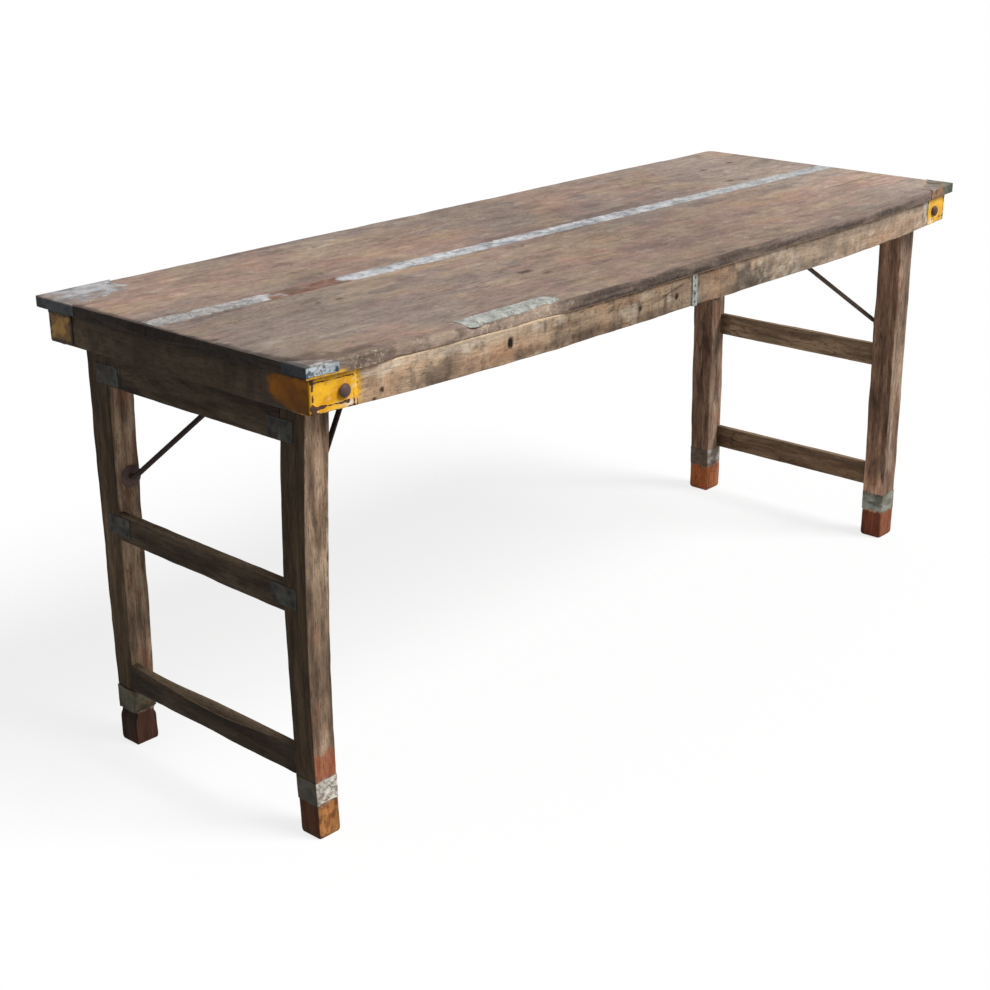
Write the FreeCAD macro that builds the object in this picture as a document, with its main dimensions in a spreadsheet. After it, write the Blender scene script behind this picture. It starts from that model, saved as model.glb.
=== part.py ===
import FreeCAD, Part
import Sketcher
import math
import os
from types import SimpleNamespace

# An old wooden folding table: a boarded top on an apron frame, two leg frames that fold inwards
# on bolts, and an iron rod stay on each leg frame that hooks under the top.
# X runs along the table, -Y is the bowed near side, Z is up from the floor.

# Driving sizes in millimetres, angles in degrees
SIZES = {
    # Top boards
    "top_length": 1744,
    "top_width": 616,
    "right_end_skew": 25,
    "table_height": 760,
    "board_thickness": 18,
    "seam_left": 35,
    "seam_right": -5,
    "board_bow_angle": 5.6,
    # Aprons
    "apron_height": 55,
    "long_apron_thickness": 38,
    "end_apron_thickness": 24,
    "side_overhang": 10,
    "end_overhang": 13,
    "apron_bow_angle": 6.8,
    "bow_flat_share": 0.4014,
    "bow_turn_share": 0.4817,
    "centre_rail_width": 28,
    "centre_rail_height": 46,
    # Tin mends on the top and the near apron
    "tin_gauge": 0.8,
    "strip_width": 40,
    "strip_end_gap": 4,
    "patch_length": 204,
    "patch_width": 37,
    "patch_place_share": 0.54,
    "patch_inset": 1,
    "patch_tip": 12,
    "far_left_cap_run": 137,
    "far_left_cap_return": 95,
    "far_left_cap_inset": 47,
    "near_left_cap_run": 55,
    "near_left_cap_return": 48,
    "near_left_cap_inset": 16,
    "near_right_cap_run": 100,
    "near_right_cap_return": 60,
    "near_right_cap_inset": 24,
    "apron_strap_width": 14,
    "apron_strap_x": -38,
    # Iron corner straps
    "strap_gauge": 2.5,
    "strap_height": 52,
    "strap_side_run": 79,
    "strap_end_run": 95,
    "far_strap_end_run": 60,
    "strap_round": 11,
    # Leg pivots
    "pivot_inset": 55,
    "pivot_drop": 46,
    "bolt_diameter": 10,
    "bolt_head_diameter": 21,
    "bolt_head_height": 6,
    "bolt_end": 3,
    "spacer_diameter": 28,
    "nut_across_corners": 19,
    "nut_thickness": 8,
    # Leg frames
    "leg_depth": 49,
    "leg_width": 52,
    "left_foot_depth": 43,
    "left_foot_width": 43,
    "right_foot_depth": 49,
    "right_foot_width": 48,
    "leg_bow": 12,
    "leg_clearance": 5,
    "lean": 0.4,
    "leg_arris": 2,
    "rail_thickness": 13,
    "top_rail_height": 65,
    "top_rail_drop": 24,
    "mid_rail_height": 46.5,
    "mid_rail_share": 0.5168,
    "low_rail_height": 49,
    "low_rail_share": 0.1422,
    "tenon_length": 26,
    "tenon_thickness": 7,
    "tenon_shoulder": 8,
    "foot_band_gap": 0.5,
    "foot_band_height": 42,
    "plate_length": 58,
    "plate_height": 32,
    "top_plate_rise": 3,
    "mid_plate_rise": 9,
    # Rod stays and their catches
    "rod_diameter": 9,
    "stay_length": 388,
    "stay_drop_share": 0.3417,
    "stay_offset": 5,
    "stay_shoulder_gap": 9,
    "stay_crossbar_half": 50,
    "stay_elbow_radius": 9,
    "stay_corner_radius": 20,
    "stay_pin_depth": 24,
    "stay_washer_diameter": 38,
    "stay_washer_gauge": 1.5,
    "batten_length": 240,
    "batten_width": 80,
    "batten_thickness": 12,
    "catch_gauge": 3,
    "catch_width": 36,
    "catch_flange": 34,
    "catch_lip_angle": 12,
    # Clearances, and how far a cutting solid runs past what it cuts
    "running_clearance": 0.06,
    "hole_slack": 0.3,
    "seat_clearance": 0.6,
    "overrun": 20,
}

doc = FreeCAD.newDocument("folding_table")
sheet = doc.addObject("Spreadsheet::Sheet", "dims")
for row, (name, value) in enumerate(SIZES.items(), start=1):
    sheet.set(f"A{row}", name)
    sheet.set(f"B{row}", str(value))
    sheet.setAlias(f"B{row}", name)
doc.recompute()


# Sizes that carry their value and the sheet formula they follow
def as_size(thing):
    return thing if isinstance(thing, Size) else Size(float(thing), repr(float(thing)))


class Size:
    """A size: its value now, and the formula in sheet names that gives it."""

    def __init__(self, value, text):
        self.value = value
        self.text = text

    def __add__(self, other):
        other = as_size(other)
        return Size(self.value + other.value, f"({self.text} + {other.text})")

    def __sub__(self, other):
        other = as_size(other)
        return Size(self.value - other.value, f"({self.text} - {other.text})")

    def __mul__(self, other):
        other = as_size(other)
        return Size(self.value * other.value, f"({self.text} * {other.text})")

    def __truediv__(self, other):
        other = as_size(other)
        return Size(self.value / other.value, f"({self.text} / {other.text})")

    def __radd__(self, other):
        return as_size(other) + self

    def __rsub__(self, other):
        return as_size(other) - self

    def __rmul__(self, other):
        return as_size(other) * self

    def __neg__(self):
        return Size(-self.value, f"(0 - {self.text})")


def sine(angle):
    return Size(math.sin(math.radians(angle.value)), f"sin({angle.text} * 1 deg)")


def cosine(angle):
    return Size(math.cos(math.radians(angle.value)), f"cos({angle.text} * 1 deg)")


def tangent(angle):
    return sine(angle) / cosine(angle)


def arcsine(ratio):
    return Size(math.degrees(math.asin(ratio.value)), f"(asin({ratio.text}) / 1 deg)")


def root(square):
    return Size(math.sqrt(square.value), f"sqrt({square.text})")


size = SimpleNamespace(**{name: Size(sheet.get(name), f"dims.{name}") for name in SIZES})

LEFT, RIGHT = -1, 1
NEAR, FAR = -1, 1
NUT_SIDES = 6
SIDE_NAMES = {LEFT: "left", RIGHT: "right"}
FACE_NAMES = {NEAR: "near", FAR: "far"}
Y_AXIS = FreeCAD.Vector(0, 1, 0)
ZERO = as_size(0)
nodes = {}


# Modelling helpers
def bind(obj, path, formula):
    obj.setExpression(path, as_size(formula).text)


def put(obj, x, y, z):
    """Place an object by distances from the table's middle lines and the floor."""
    for axis, formula in zip("xyz", (middle_x + x, middle_y + y, z)):
        bind(obj, f"Placement.Base.{axis}", formula)
    return obj


def turn_about_y(obj, angle):
    obj.Placement = FreeCAD.Placement(FreeCAD.Vector(), FreeCAD.Rotation(Y_AXIS, abs(angle.value)))
    bind(obj, "Placement.Rotation.Angle", angle)


def keep(label, obj):
    """Make an object one of the table's pieces."""
    obj.Label = label
    nodes[label] = obj
    return obj


def box(name, low, high):
    obj = doc.addObject("Part::Box", name)
    for path, start, end in zip(("Length", "Width", "Height"), low, high):
        bind(obj, path, end - start)
    return put(obj, *low)


def cylinder_y(name, x, y_low, y_high, z, radius):
    """A cylinder along +Y between two places."""
    obj = doc.addObject("Part::Cylinder", name)
    bind(obj, "Radius", radius)
    bind(obj, "Height", y_high - y_low)
    obj.Placement = FreeCAD.Placement(FreeCAD.Vector(), FreeCAD.Rotation(FreeCAD.Vector(1, 0, 0), -90))
    return put(obj, x, y_low, z)


def gather(name, kind, parts):
    obj = doc.addObject(kind, name)
    if kind == "Part::Compound":
        obj.Links = parts
    else:
        obj.Shapes = parts
    return obj


def cut(name, base, tools):
    obj = doc.addObject("Part::Cut", name)
    obj.Base = base
    obj.Tool = tools[0] if len(tools) == 1 else gather(f"{name}_tools", "Part::MultiFuse", tools)
    return obj


def attach(sketch, body, plane):
    support = [face for face in body.Origin.OriginFeatures if face.Role == plane][0]
    sketch.AttachmentSupport = [(support, "")]
    sketch.MapMode = "FlatFace"


def arc_between(start, end, radius, turn):
    """The arc from start to end that turns left (turn 1) or right (turn -1), up to a half circle."""
    chord = end - start
    normal = FreeCAD.Vector(-chord.y, chord.x, 0).normalize() * turn
    rise = math.sqrt(max(radius ** 2 - chord.Length ** 2 / 4, 0))
    centre = (start + end) / 2 + normal * rise
    first, last = (start, end) if turn > 0 else (end, start)
    angles = [math.atan2(point.y - centre.y, point.x - centre.x) for point in (first, last)]
    return Part.ArcOfCircle(Part.Circle(centre, FreeCAD.Vector(0, 0, 1), radius), *angles)


def draw(sketch, corners, closed=True):
    """Lines and arcs through corners (x, y); a corner (x, y, radius, turn) starts an arc."""
    points = [FreeCAD.Vector(as_size(c[0]).value, as_size(c[1]).value, 0) for c in corners]
    count = len(corners) if closed else len(corners) - 1
    starts = []
    ends = []
    for index in range(count):
        start, end = points[index], points[(index + 1) % len(points)]
        arc = corners[index][2:]
        if arc:
            edge = sketch.addGeometry(arc_between(start, end, arc[0].value, arc[1]))
            number = sketch.addConstraint(Sketcher.Constraint("Radius", edge, arc[0].value))
            bind(sketch, f"Constraints[{number}]", arc[0])
        else:
            edge = sketch.addGeometry(Part.LineSegment(start, end))
        forward = not arc or arc[1] > 0
        starts.append((edge, 1 if forward else 2))
        ends.append((edge, 2 if forward else 1))
    for index in range(count if closed else count - 1):
        follower = starts[(index + 1) % count]
        sketch.addConstraint(Sketcher.Constraint("Coincident", *ends[index], *follower))
    anchors = starts if closed else starts + [ends[-1]]
    for corner, anchor in zip(corners, anchors):
        for kind, formula in zip(("DistanceX", "DistanceY"), corner):
            value = as_size(formula).value
            number = sketch.addConstraint(Sketcher.Constraint(kind, -1, 1, *anchor, value))
            bind(sketch, f"Constraints[{number}]", formula)


def add_sketch(body, plane, corners, closed=True):
    sketch = body.newObject("Sketcher::SketchObject", f"{body.Name}_sketch")
    attach(sketch, body, plane)
    draw(sketch, corners, closed)
    return sketch


def pad(name, plane, corners, depth):
    """A body with one sketch padded along its plane's normal."""
    body = doc.addObject("PartDesign::Body", name)
    feature = body.newObject("PartDesign::Pad", f"{name}_pad")
    feature.Profile = add_sketch(body, plane, corners)
    bind(feature, "Length", depth)
    body.Tip = feature
    return body


def edges_where(shape, test):
    """Names of the edges whose vertices all pass a test."""
    names = []
    for number, edge in enumerate(shape.Edges, start=1):
        if all(test(vertex.Point) for vertex in edge.Vertexes):
            names.append(f"Edge{number}")
    return names


# Places that several pieces share
half_length = size.top_length / 2
half_width = size.top_width / 2
underside = size.table_height - size.board_thickness
apron_bottom = underside - size.apron_height
apron_end = half_length - size.end_overhang
apron_side = half_width - size.side_overhang
pivot_z = size.table_height - size.pivot_drop
bolt_radius = size.bolt_diameter / 2
pivot_reach = apron_end - size.pivot_inset
apron_inner = apron_side - size.long_apron_thickness
leg_outer = apron_inner - size.leg_clearance
leg_inner = leg_outer - size.leg_width
leg_half = size.leg_depth / 2
bow_flat = half_length * size.bow_flat_share
bow_turn = half_length * size.bow_turn_share


def bow_radius(angle):
    return bow_turn / sine(angle)


def bow_depth(angle, end):
    """How far a bowed edge stands out in the middle: a turn and a straight end at the angle."""
    straight = end - bow_flat - bow_turn
    return bow_radius(angle) * (1 - cosine(angle)) + straight * tangent(angle)


board_bow = bow_depth(size.board_bow_angle, half_length)
apron_bow = bow_depth(size.apron_bow_angle, apron_end)
middle_x = (size.tin_gauge - size.right_end_skew) / 2
middle_y = (board_bow - size.tin_gauge) / 2


def apron_face(reach):
    """Distance of the near apron's outer face from the middle line, near its ends."""
    return apron_side + (apron_end - reach) * tangent(size.apron_bow_angle)


def bowed_edge(end, side, angle):
    """Corners of a bowed near edge from the left end to the right end."""
    turn = bow_flat + bow_turn
    turn_side = side + (end - turn) * tangent(angle)
    crest = side + bow_depth(angle, end)
    radius = bow_radius(angle)
    return [
        (-end, -side),
        (-turn, -turn_side, radius, 1),
        (-bow_flat, -crest),
        (bow_flat, -crest, radius, 1),
        (turn, -turn_side),
        (end, -side),
    ]


# Top boards: their seam runs a little askew, and their right end is sawn out of square
def board_end(end, y):
    """Where the top ends on the left or the right, at a distance across from the middle line."""
    if end == LEFT:
        return -half_length
    return half_length + (y + half_width) * size.right_end_skew / size.top_width


seam = [
    (board_end(LEFT, size.seam_left), size.seam_left),
    (board_end(RIGHT, size.seam_right), size.seam_right),
]
near_outline = bowed_edge(half_length, half_width, size.board_bow_angle) + seam[::-1]
far_outline = seam + [(board_end(end, half_width), half_width) for end in (RIGHT, LEFT)]
near_board = keep("top_board_near", pad("near_board", "XY_Plane", near_outline, size.board_thickness))
far_board = keep("top_board_far", pad("far_board", "XY_Plane", far_outline, size.board_thickness))
for board in (near_board, far_board):
    put(board, 0, 0, underside)


# Tin strip over the seam, and a short patch with clipped tips near the bowed edge
def strip_corner(end, face):
    seam_y = size.seam_left if end == LEFT else size.seam_right
    y = seam_y + face * size.strip_width / 2
    return (board_end(end, y) - end * size.strip_end_gap, y)


strip_outline = [
    strip_corner(LEFT, NEAR),
    strip_corner(RIGHT, NEAR),
    strip_corner(RIGHT, FAR),
    strip_corner(LEFT, FAR),
]
strip = keep("centre_strip", pad("strip", "XY_Plane", strip_outline, size.tin_gauge))
put(strip, 0, 0, size.table_height)

patch_half = size.patch_length / 2
patch_flat = patch_half - size.patch_tip
patch_side = size.patch_width / 2
patch_outline = [
    (-patch_half, 0),
    (-patch_flat, -patch_side),
    (patch_flat, -patch_side),
    (patch_half, 0),
    (patch_flat, patch_side),
    (-patch_flat, patch_side),
]
patch = keep("patch_strip", pad("patch", "XY_Plane", patch_outline, size.tin_gauge))
put(patch, -half_length * size.patch_place_share, size.patch_inset - half_width, size.table_height)


# Tin caps folded over three corners of the top
def corner_cap(label, end, face, run, back, inset, board):
    """Sheet over a board corner: a run along the long edge and a return along the end."""
    slope = tangent(size.board_bow_angle) if face == NEAR else ZERO
    skin = size.tin_gauge
    rise = skin / cosine(size.board_bow_angle) if face == NEAR else skin
    start = end * (half_length - run)
    outline = [
        (board_end(end, face * half_width) + end * skin, face * (half_width - skin * slope + rise)),
        (start, face * (half_width + run * slope + rise)),
        (start, face * (half_width + run * slope - inset)),
        (board_end(end, face * (half_width - back)) + end * skin, face * (half_width - back)),
    ]
    blank = pad(f"{label}_blank", "XY_Plane", outline, size.board_thickness + skin)
    put(blank, 0, 0, underside)
    return keep(label, cut(label, blank, [board]))


corner_cap("corner_cap_far_left", LEFT, FAR, size.far_left_cap_run, size.far_left_cap_return,
           size.far_left_cap_inset, far_board)
corner_cap("corner_cap_near_left", LEFT, NEAR, size.near_left_cap_run, size.near_left_cap_return,
           size.near_left_cap_inset, near_board)
corner_cap("corner_cap_near_right", RIGHT, NEAR, size.near_right_cap_run, size.near_right_cap_return,
           size.near_right_cap_inset, near_board)


# Aprons, with holes for the leg pivots
def pivot_hole(name, end, radius):
    """A cutting cylinder across the whole table on a leg frame's axis."""
    reach = half_width + board_bow + size.overrun
    return cylinder_y(name, end * pivot_reach, -reach, reach, pivot_z, radius)


bolt_holes = [pivot_hole(f"bolt_hole_{SIDE_NAMES[end]}", end, bolt_radius + size.hole_slack)
              for end in (LEFT, RIGHT)]
outer_edge = bowed_edge(apron_end, apron_side, size.apron_bow_angle)
inner_edge = [(corner[0], corner[1] + size.long_apron_thickness) for corner in reversed(outer_edge)]
bend = bow_radius(size.apron_bow_angle)
for bend_start in (1, 3):
    inner_edge[bend_start] = inner_edge[bend_start] + (bend, -1)
near_blank = pad("near_apron_blank", "XY_Plane", outer_edge + inner_edge, size.apron_height)
put(near_blank, 0, 0, apron_bottom)
near_apron = keep("long_apron_near", cut("near_apron", near_blank, bolt_holes))

far_blank = box("far_apron_blank", (-apron_end, apron_inner, apron_bottom),
                (apron_end, apron_side, underside))
keep("long_apron_far", cut("far_apron", far_blank, bolt_holes))

for end in (LEFT, RIGHT):
    outside = end * apron_end
    inside = end * (apron_end - size.end_apron_thickness)
    low, high = (outside, inside) if end == LEFT else (inside, outside)
    end_apron = box(f"end_apron_{SIDE_NAMES[end]}", (low, -apron_inner, apron_bottom),
                    (high, apron_inner, underside))
    keep(f"end_apron_{SIDE_NAMES[end]}", end_apron)

rail_half = size.centre_rail_width / 2
near_inner = apron_side + apron_bow - size.long_apron_thickness
keep("centre_rail", box("centre_rail", (-rail_half, -near_inner, underside - size.centre_rail_height),
                        (rail_half, apron_inner, underside)))

mend_x = size.apron_strap_x - size.apron_strap_width / 2
mend_face = -apron_side - apron_bow
keep("apron_strap", box("apron_strap", (mend_x, mend_face - size.tin_gauge, apron_bottom),
                        (mend_x + size.apron_strap_width, mend_face, underside)))

# Iron straps bent round the apron corners, rounded at their ends
strap_bottom = apron_bottom + (size.apron_height - size.strap_height) / 2


def corner_strap(label, end, face, end_run):
    angle = size.apron_bow_angle
    slope = tangent(angle) if face == NEAR else ZERO
    skin = size.strap_gauge
    rise = skin / cosine(angle) if face == NEAR else skin
    run = size.strap_side_run
    outline = [
        (end * apron_end, face * (apron_side - end_run)),
        (end * apron_end, face * apron_side),
        (end * (apron_end - run), face * (apron_side + run * slope)),
        (end * (apron_end - run), face * (apron_side + run * slope + rise)),
        (end * (apron_end + skin), face * (apron_side - skin * slope + rise)),
        (end * (apron_end + skin), face * (apron_side - end_run)),
    ]
    body = pad(f"{label}_blank", "XY_Plane", outline, size.strap_height)
    doc.recompute()
    free_end = (apron_side - end_run).value
    ends = edges_where(body.Shape, lambda point: abs(point.y * face - free_end) < skin.value / 2)
    flat_edges = [name for name in ends if abs(body.Shape.getElement(name).tangentAt(0).x) > abs(
        body.Shape.getElement(name).tangentAt(0).z)]
    bent = body.Tip
    fillet = body.newObject("PartDesign::Fillet", f"{label}_round")
    fillet.Base = (bent, flat_edges)
    bind(fillet, "Radius", size.strap_round)
    body.Tip = fillet
    put(body, 0, 0, strap_bottom)
    return keep(label, cut(label, body, bolt_holes))


for end in (LEFT, RIGHT):
    for face in (NEAR, FAR):
        end_run = size.far_strap_end_run if face == FAR else size.strap_end_run
        corner_strap(f"corner_strap_{FACE_NAMES[face]}_{SIDE_NAMES[end]}", end, face, end_run)

# Pivot bolts with domed heads outside, spacers between apron and leg, nuts inside the legs
head_radius = size.bolt_head_diameter / 2
dome_radius = (head_radius * head_radius + size.bolt_head_height * size.bolt_head_height) / (
    2 * size.bolt_head_height)
shank_hole = bolt_radius + size.running_clearance
nut_seat = leg_inner - size.seat_clearance
shank_end = nut_seat - size.nut_thickness - size.bolt_end
bolts = []
spacers = []
nuts = []
for end in (LEFT, RIGHT):
    for face in (NEAR, FAR):
        name = f"{FACE_NAMES[face]}_{SIDE_NAMES[end]}"
        x = end * pivot_reach
        if face == NEAR:
            head_seat = apron_face(pivot_reach - head_radius) + size.strap_gauge / cosine(
                size.apron_bow_angle)
            spacer_end = apron_face(pivot_reach + size.spacer_diameter / 2) - size.long_apron_thickness
        else:
            head_seat = apron_side + size.strap_gauge
            spacer_end = apron_inner
        profile = [
            (0, face * size.bolt_head_height, dome_radius, -face),
            (head_radius, 0),
            (bolt_radius, 0),
            (bolt_radius, face * (shank_end - head_seat)),
            (0, face * (shank_end - head_seat)),
        ]
        bolt = doc.addObject("PartDesign::Body", f"bolt_{name}")
        turned = bolt.newObject("PartDesign::Revolution", f"bolt_{name}_turned")
        turned.Profile = add_sketch(bolt, "XY_Plane", profile)
        turned.ReferenceAxis = (turned.Profile[0], ["V_Axis"])
        bolt.Tip = turned
        bolts.append(put(bolt, x, face * head_seat, pivot_z))

        spacer_start = leg_outer + size.seat_clearance
        low, high = sorted((face * spacer_start, face * spacer_end), key=lambda place: place.value)
        blank = cylinder_y(f"spacer_blank_{name}", x, low, high, pivot_z, size.spacer_diameter / 2)
        bore = pivot_hole(f"spacer_bore_{name}", end, shank_hole)
        spacers.append(cut(f"spacer_{name}", blank, [bore]))

        prism = doc.addObject("Part::Prism", f"nut_blank_{name}")
        prism.Polygon = NUT_SIDES
        bind(prism, "Circumradius", size.nut_across_corners / 2)
        bind(prism, "Height", size.nut_thickness)
        prism.Placement = FreeCAD.Placement(FreeCAD.Vector(), FreeCAD.Rotation(FreeCAD.Vector(1, 0, 0), -90))
        nut_low = -nut_seat if face == NEAR else nut_seat - size.nut_thickness
        put(prism, x, nut_low, pivot_z)
        nut_bore = pivot_hole(f"nut_bore_{name}", end, shank_hole)
        nuts.append(cut(f"nut_{name}", prism, [nut_bore]))
keep("pivot_bolts", gather("pivot_bolts", "Part::Compound", bolts))
keep("pivot_spacers", gather("pivot_spacers", "Part::Compound", spacers))
keep("pivot_nuts", gather("pivot_nuts", "Part::Compound", nuts))


# Leg frames, drawn upright about their pivots and then leant outwards
def frame_place(obj, end, out, y, z):
    """Put a point of a leg frame, out from and above its pivot, in the leant frame."""
    lean = size.lean
    turn_about_y(obj, -end * lean)
    x = end * (pivot_reach + out * cosine(lean) - z * sine(lean))
    return put(obj, x, y, pivot_z + out * sine(lean) + z * cosine(lean))


def frame_box(name, end, low, high):
    """A box of a leg frame between two corners given as out, across and up from the pivot."""
    obj = doc.addObject("Part::Box", name)
    for path, start, stop in zip(("Length", "Width", "Height"), low, high):
        bind(obj, path, stop - start)
    corner_out = high[0] if end == LEFT else low[0]
    return frame_place(obj, end, corner_out, low[1], low[2])


def foot_z(out):
    """Height below the pivot, in the leant frame, where a leg meets the floor."""
    return -(pivot_z + out * sine(size.lean)) / cosine(size.lean)


foot_depth = {LEFT: size.left_foot_depth, RIGHT: size.right_foot_depth}
foot_width = {LEFT: size.left_foot_width, RIGHT: size.right_foot_width}


def is_bowed(end, face):
    """Only the near left leg is bowed outwards."""
    return end == LEFT and face == NEAR


def bow_out(end, face, z):
    """How far a leg stands out of its straight line at a height below the pivot."""
    if not is_bowed(end, face):
        return ZERO
    share = -z / pivot_z
    return 4 * size.leg_bow * share * (1 - share)


def bow_arc(run, rise):
    """Radius of a leg's bowed edge from its two ends' distances apart."""
    return (run * run + rise * rise) / (8 * size.leg_bow) + size.leg_bow / 2


def leg_blank(end, face):
    """A leg with a round top, tapering to its foot; its edges are eased unless it is bowed."""
    name = f"leg_blank_{FACE_NAMES[face]}_{SIDE_NAMES[end]}"
    foot_in = leg_half - foot_depth[end]
    outer_arc = ()
    inner_arc = ()
    if is_bowed(end, face):
        outer_arc = (bow_arc(ZERO, foot_z(leg_half)), end)
        inner_arc = (bow_arc(leg_half + foot_in, foot_z(foot_in)), -end)
    outline = [
        (end * leg_half, foot_z(leg_half)) + outer_arc,
        (end * leg_half, 0, leg_half, end),
        (0, leg_half, leg_half, end),
        (-end * leg_half, 0) + inner_arc,
        (end * foot_in, foot_z(foot_in)),
    ]
    body = pad(name, "XZ_Plane", outline, size.leg_width + size.overrun)
    outer_y = -size.leg_width if face == NEAR else -size.overrun
    top = leg_half + size.overrun
    bottom = -pivot_z - size.overrun
    slope = (size.leg_width - foot_width[end]) / pivot_z
    clear_y = outer_y + face * size.overrun * 2
    wedge = [
        (outer_y + face * slope * top, top),
        (outer_y + face * slope * bottom, bottom),
        (clear_y, bottom),
        (clear_y, top),
    ]
    pocket = body.newObject("PartDesign::Pocket", f"{name}_taper")
    pocket.Profile = add_sketch(body, "YZ_Plane", wedge)
    pocket.Type = "ThroughAll"
    pocket.SideType = "Symmetric"
    body.Tip = pocket
    if not is_bowed(end, face):
        doc.recompute()
        arrises = [f"Edge{number}" for number, edge in enumerate(body.Shape.Edges, start=1)
                   if edge.BoundBox.ZLength > pivot_z.value / 2]
        chamfer = body.newObject("PartDesign::Chamfer", f"{name}_arris")
        chamfer.Base = (pocket, arrises)
        bind(chamfer, "Size", size.leg_arris)
        body.Tip = chamfer
    base_y = -leg_inner if face == NEAR else leg_outer + size.overrun
    return frame_place(body, end, ZERO, base_y, ZERO)


def cross_bar(name, end, inner, outer, reach, bottom, height):
    """A bar across a leg frame whose near end follows the near leg's bow."""
    near_bow = bow_out(end, NEAR, bottom + height / 2)
    slant = near_bow / leg_inner / 2
    near_shift = slant * (leg_inner + reach)
    far_shift = slant * (leg_inner - reach)
    outline = [
        (end * (inner + near_shift), -reach),
        (end * (outer + near_shift), -reach),
        (end * (outer + far_shift), reach),
        (end * (inner + far_shift), reach),
    ]
    return frame_place(pad(name, "XY_Plane", outline, height), end, ZERO, ZERO, bottom)


def cross_rail(label, end, bottom, height):
    """A rail between the legs, flush with their outer faces, with a tenon at each end."""
    inner = leg_half - size.rail_thickness
    web = cross_bar(f"{label}_web", end, inner, leg_half, leg_inner, bottom, height)
    tenon_in = inner + (size.rail_thickness - size.tenon_thickness) / 2
    tenon = cross_bar(f"{label}_tenon", end, tenon_in, tenon_in + size.tenon_thickness,
                      leg_inner + size.tenon_length, bottom + size.tenon_shoulder,
                      height - size.tenon_shoulder * 2)
    return keep(label, gather(label, "Part::MultiFuse", [web, tenon]))


def leg_inside(end, z):
    """How far in from the pivot line a leg's inner face lies at a height below the pivot."""
    return leg_half + (size.leg_depth - foot_depth[end]) * z / pivot_z


def leg_outside(end, z):
    """How far from the middle line a leg's outer face lies at a height below the pivot."""
    return leg_outer + (size.leg_width - foot_width[end]) * z / pivot_z


rod_radius = size.rod_diameter / 2
stay_drop = pivot_z * size.stay_drop_share
stay_foot = pivot_reach - size.stay_offset * cosine(size.lean) + stay_drop * sine(size.lean)
stay_level = pivot_z - size.stay_offset * sine(size.lean) - stay_drop * cosine(size.lean)
top_rail_z = -size.top_rail_drop - size.top_rail_height
mid_rail_z = pivot_z * size.mid_rail_share - pivot_z
low_rail_z = pivot_z * size.low_rail_share - pivot_z
for end in (LEFT, RIGHT):
    side = SIDE_NAMES[end]
    top_rail = cross_rail(f"top_rail_{side}", end, top_rail_z, size.top_rail_height)
    mid_rail = cross_rail(f"mid_rail_{side}", end, mid_rail_z, size.mid_rail_height)
    low_rail = cross_rail(f"low_rail_{side}", end, low_rail_z, size.low_rail_height)
    pivot_bore = pivot_hole(f"pivot_bore_{side}", end, shank_hole)
    stay_reach = leg_inner + size.stay_pin_depth + size.seat_clearance
    stay_bore = cylinder_y(f"stay_bore_{side}", end * stay_foot, -stay_reach, stay_reach, stay_level,
                           rod_radius + size.running_clearance)
    washers = []
    plates = []
    for face in (NEAR, FAR):
        name = f"{FACE_NAMES[face]}_{side}"
        leg = keep(f"leg_{name}", cut(f"leg_{name}", leg_blank(end, face),
                                      [top_rail, mid_rail, low_rail, pivot_bore, stay_bore]))
        band_high = low_rail_z - size.foot_band_gap
        band_low = band_high - size.foot_band_height
        skin = size.tin_gauge
        across = sorted((face * (leg_inner - skin), face * (leg_outside(end, band_high) + skin)),
                        key=lambda place: place.value)
        sleeve_in = bow_out(end, face, band_low) - leg_inside(end, band_high) - skin
        sleeve_out = bow_out(end, face, band_high) + leg_half + skin
        sleeve = frame_box(f"foot_sleeve_{name}", end, (sleeve_in, across[0], band_low),
                           (sleeve_out, across[1], band_high))
        keep(f"foot_band_{name}", cut(f"foot_band_{name}", sleeve, [leg]))
        disc_faces = sorted((face * leg_inner, face * (leg_inner - size.stay_washer_gauge)),
                            key=lambda place: place.value)
        disc = cylinder_y(f"stay_disc_{name}", end * stay_foot, *disc_faces, stay_level,
                          size.stay_washer_diameter / 2)
        washers.append(cut(f"stay_washer_{name}", disc, [stay_bore]))
        top_plate = top_rail_z + size.top_plate_rise
        mid_plate = mid_rail_z + size.mid_plate_rise
        for rail, bottom in ((top_rail, top_plate), (mid_rail, mid_plate)):
            start = face * leg_inner - size.plate_length / 2
            stand_outs = sorted((bow_out(end, face, bottom), bow_out(end, face, bottom + size.plate_height)),
                                key=lambda place: place.value)
            seat = leg_half + stand_outs[0] - size.rail_thickness / 2
            plate = frame_box(f"plate_blank_{name}_{rail.Name}", end, (seat, start, bottom),
                              (leg_half + stand_outs[1] + skin, start + size.plate_length,
                               bottom + size.plate_height))
            plates.append(cut(f"plate_{name}_{rail.Name}", plate, [leg, rail]))
    keep(f"stay_washers_{side}", gather(f"stay_washers_{side}", "Part::Compound", washers))
    keep(f"joint_plates_{side}", gather(f"joint_plates_{side}", "Part::Compound", plates))

# Rod stays: one bent rod per leg frame, pinned in both legs, its crossbar in a hook under the top
catch_inner = rod_radius + size.seat_clearance
catch_outer = catch_inner + size.catch_gauge
bar_z = underside - size.batten_thickness - catch_outer
stay_angle = arcsine((bar_z - stay_level) / size.stay_length)
bar_reach = stay_foot - size.stay_length * cosine(stay_angle)
stay_shoulder = leg_inner - size.stay_shoulder_gap
arm_run = size.stay_length
arm_close = stay_shoulder - size.stay_crossbar_half
arm_length = root(arm_run * arm_run + arm_close * arm_close)
arm_cosine = arm_run / arm_length
arm_sine = arm_close / arm_length
elbow_tangent = size.stay_elbow_radius * (1 - arm_sine) / arm_cosine
corner_tangent = size.stay_corner_radius * arm_cosine / (1 + arm_sine)


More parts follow.
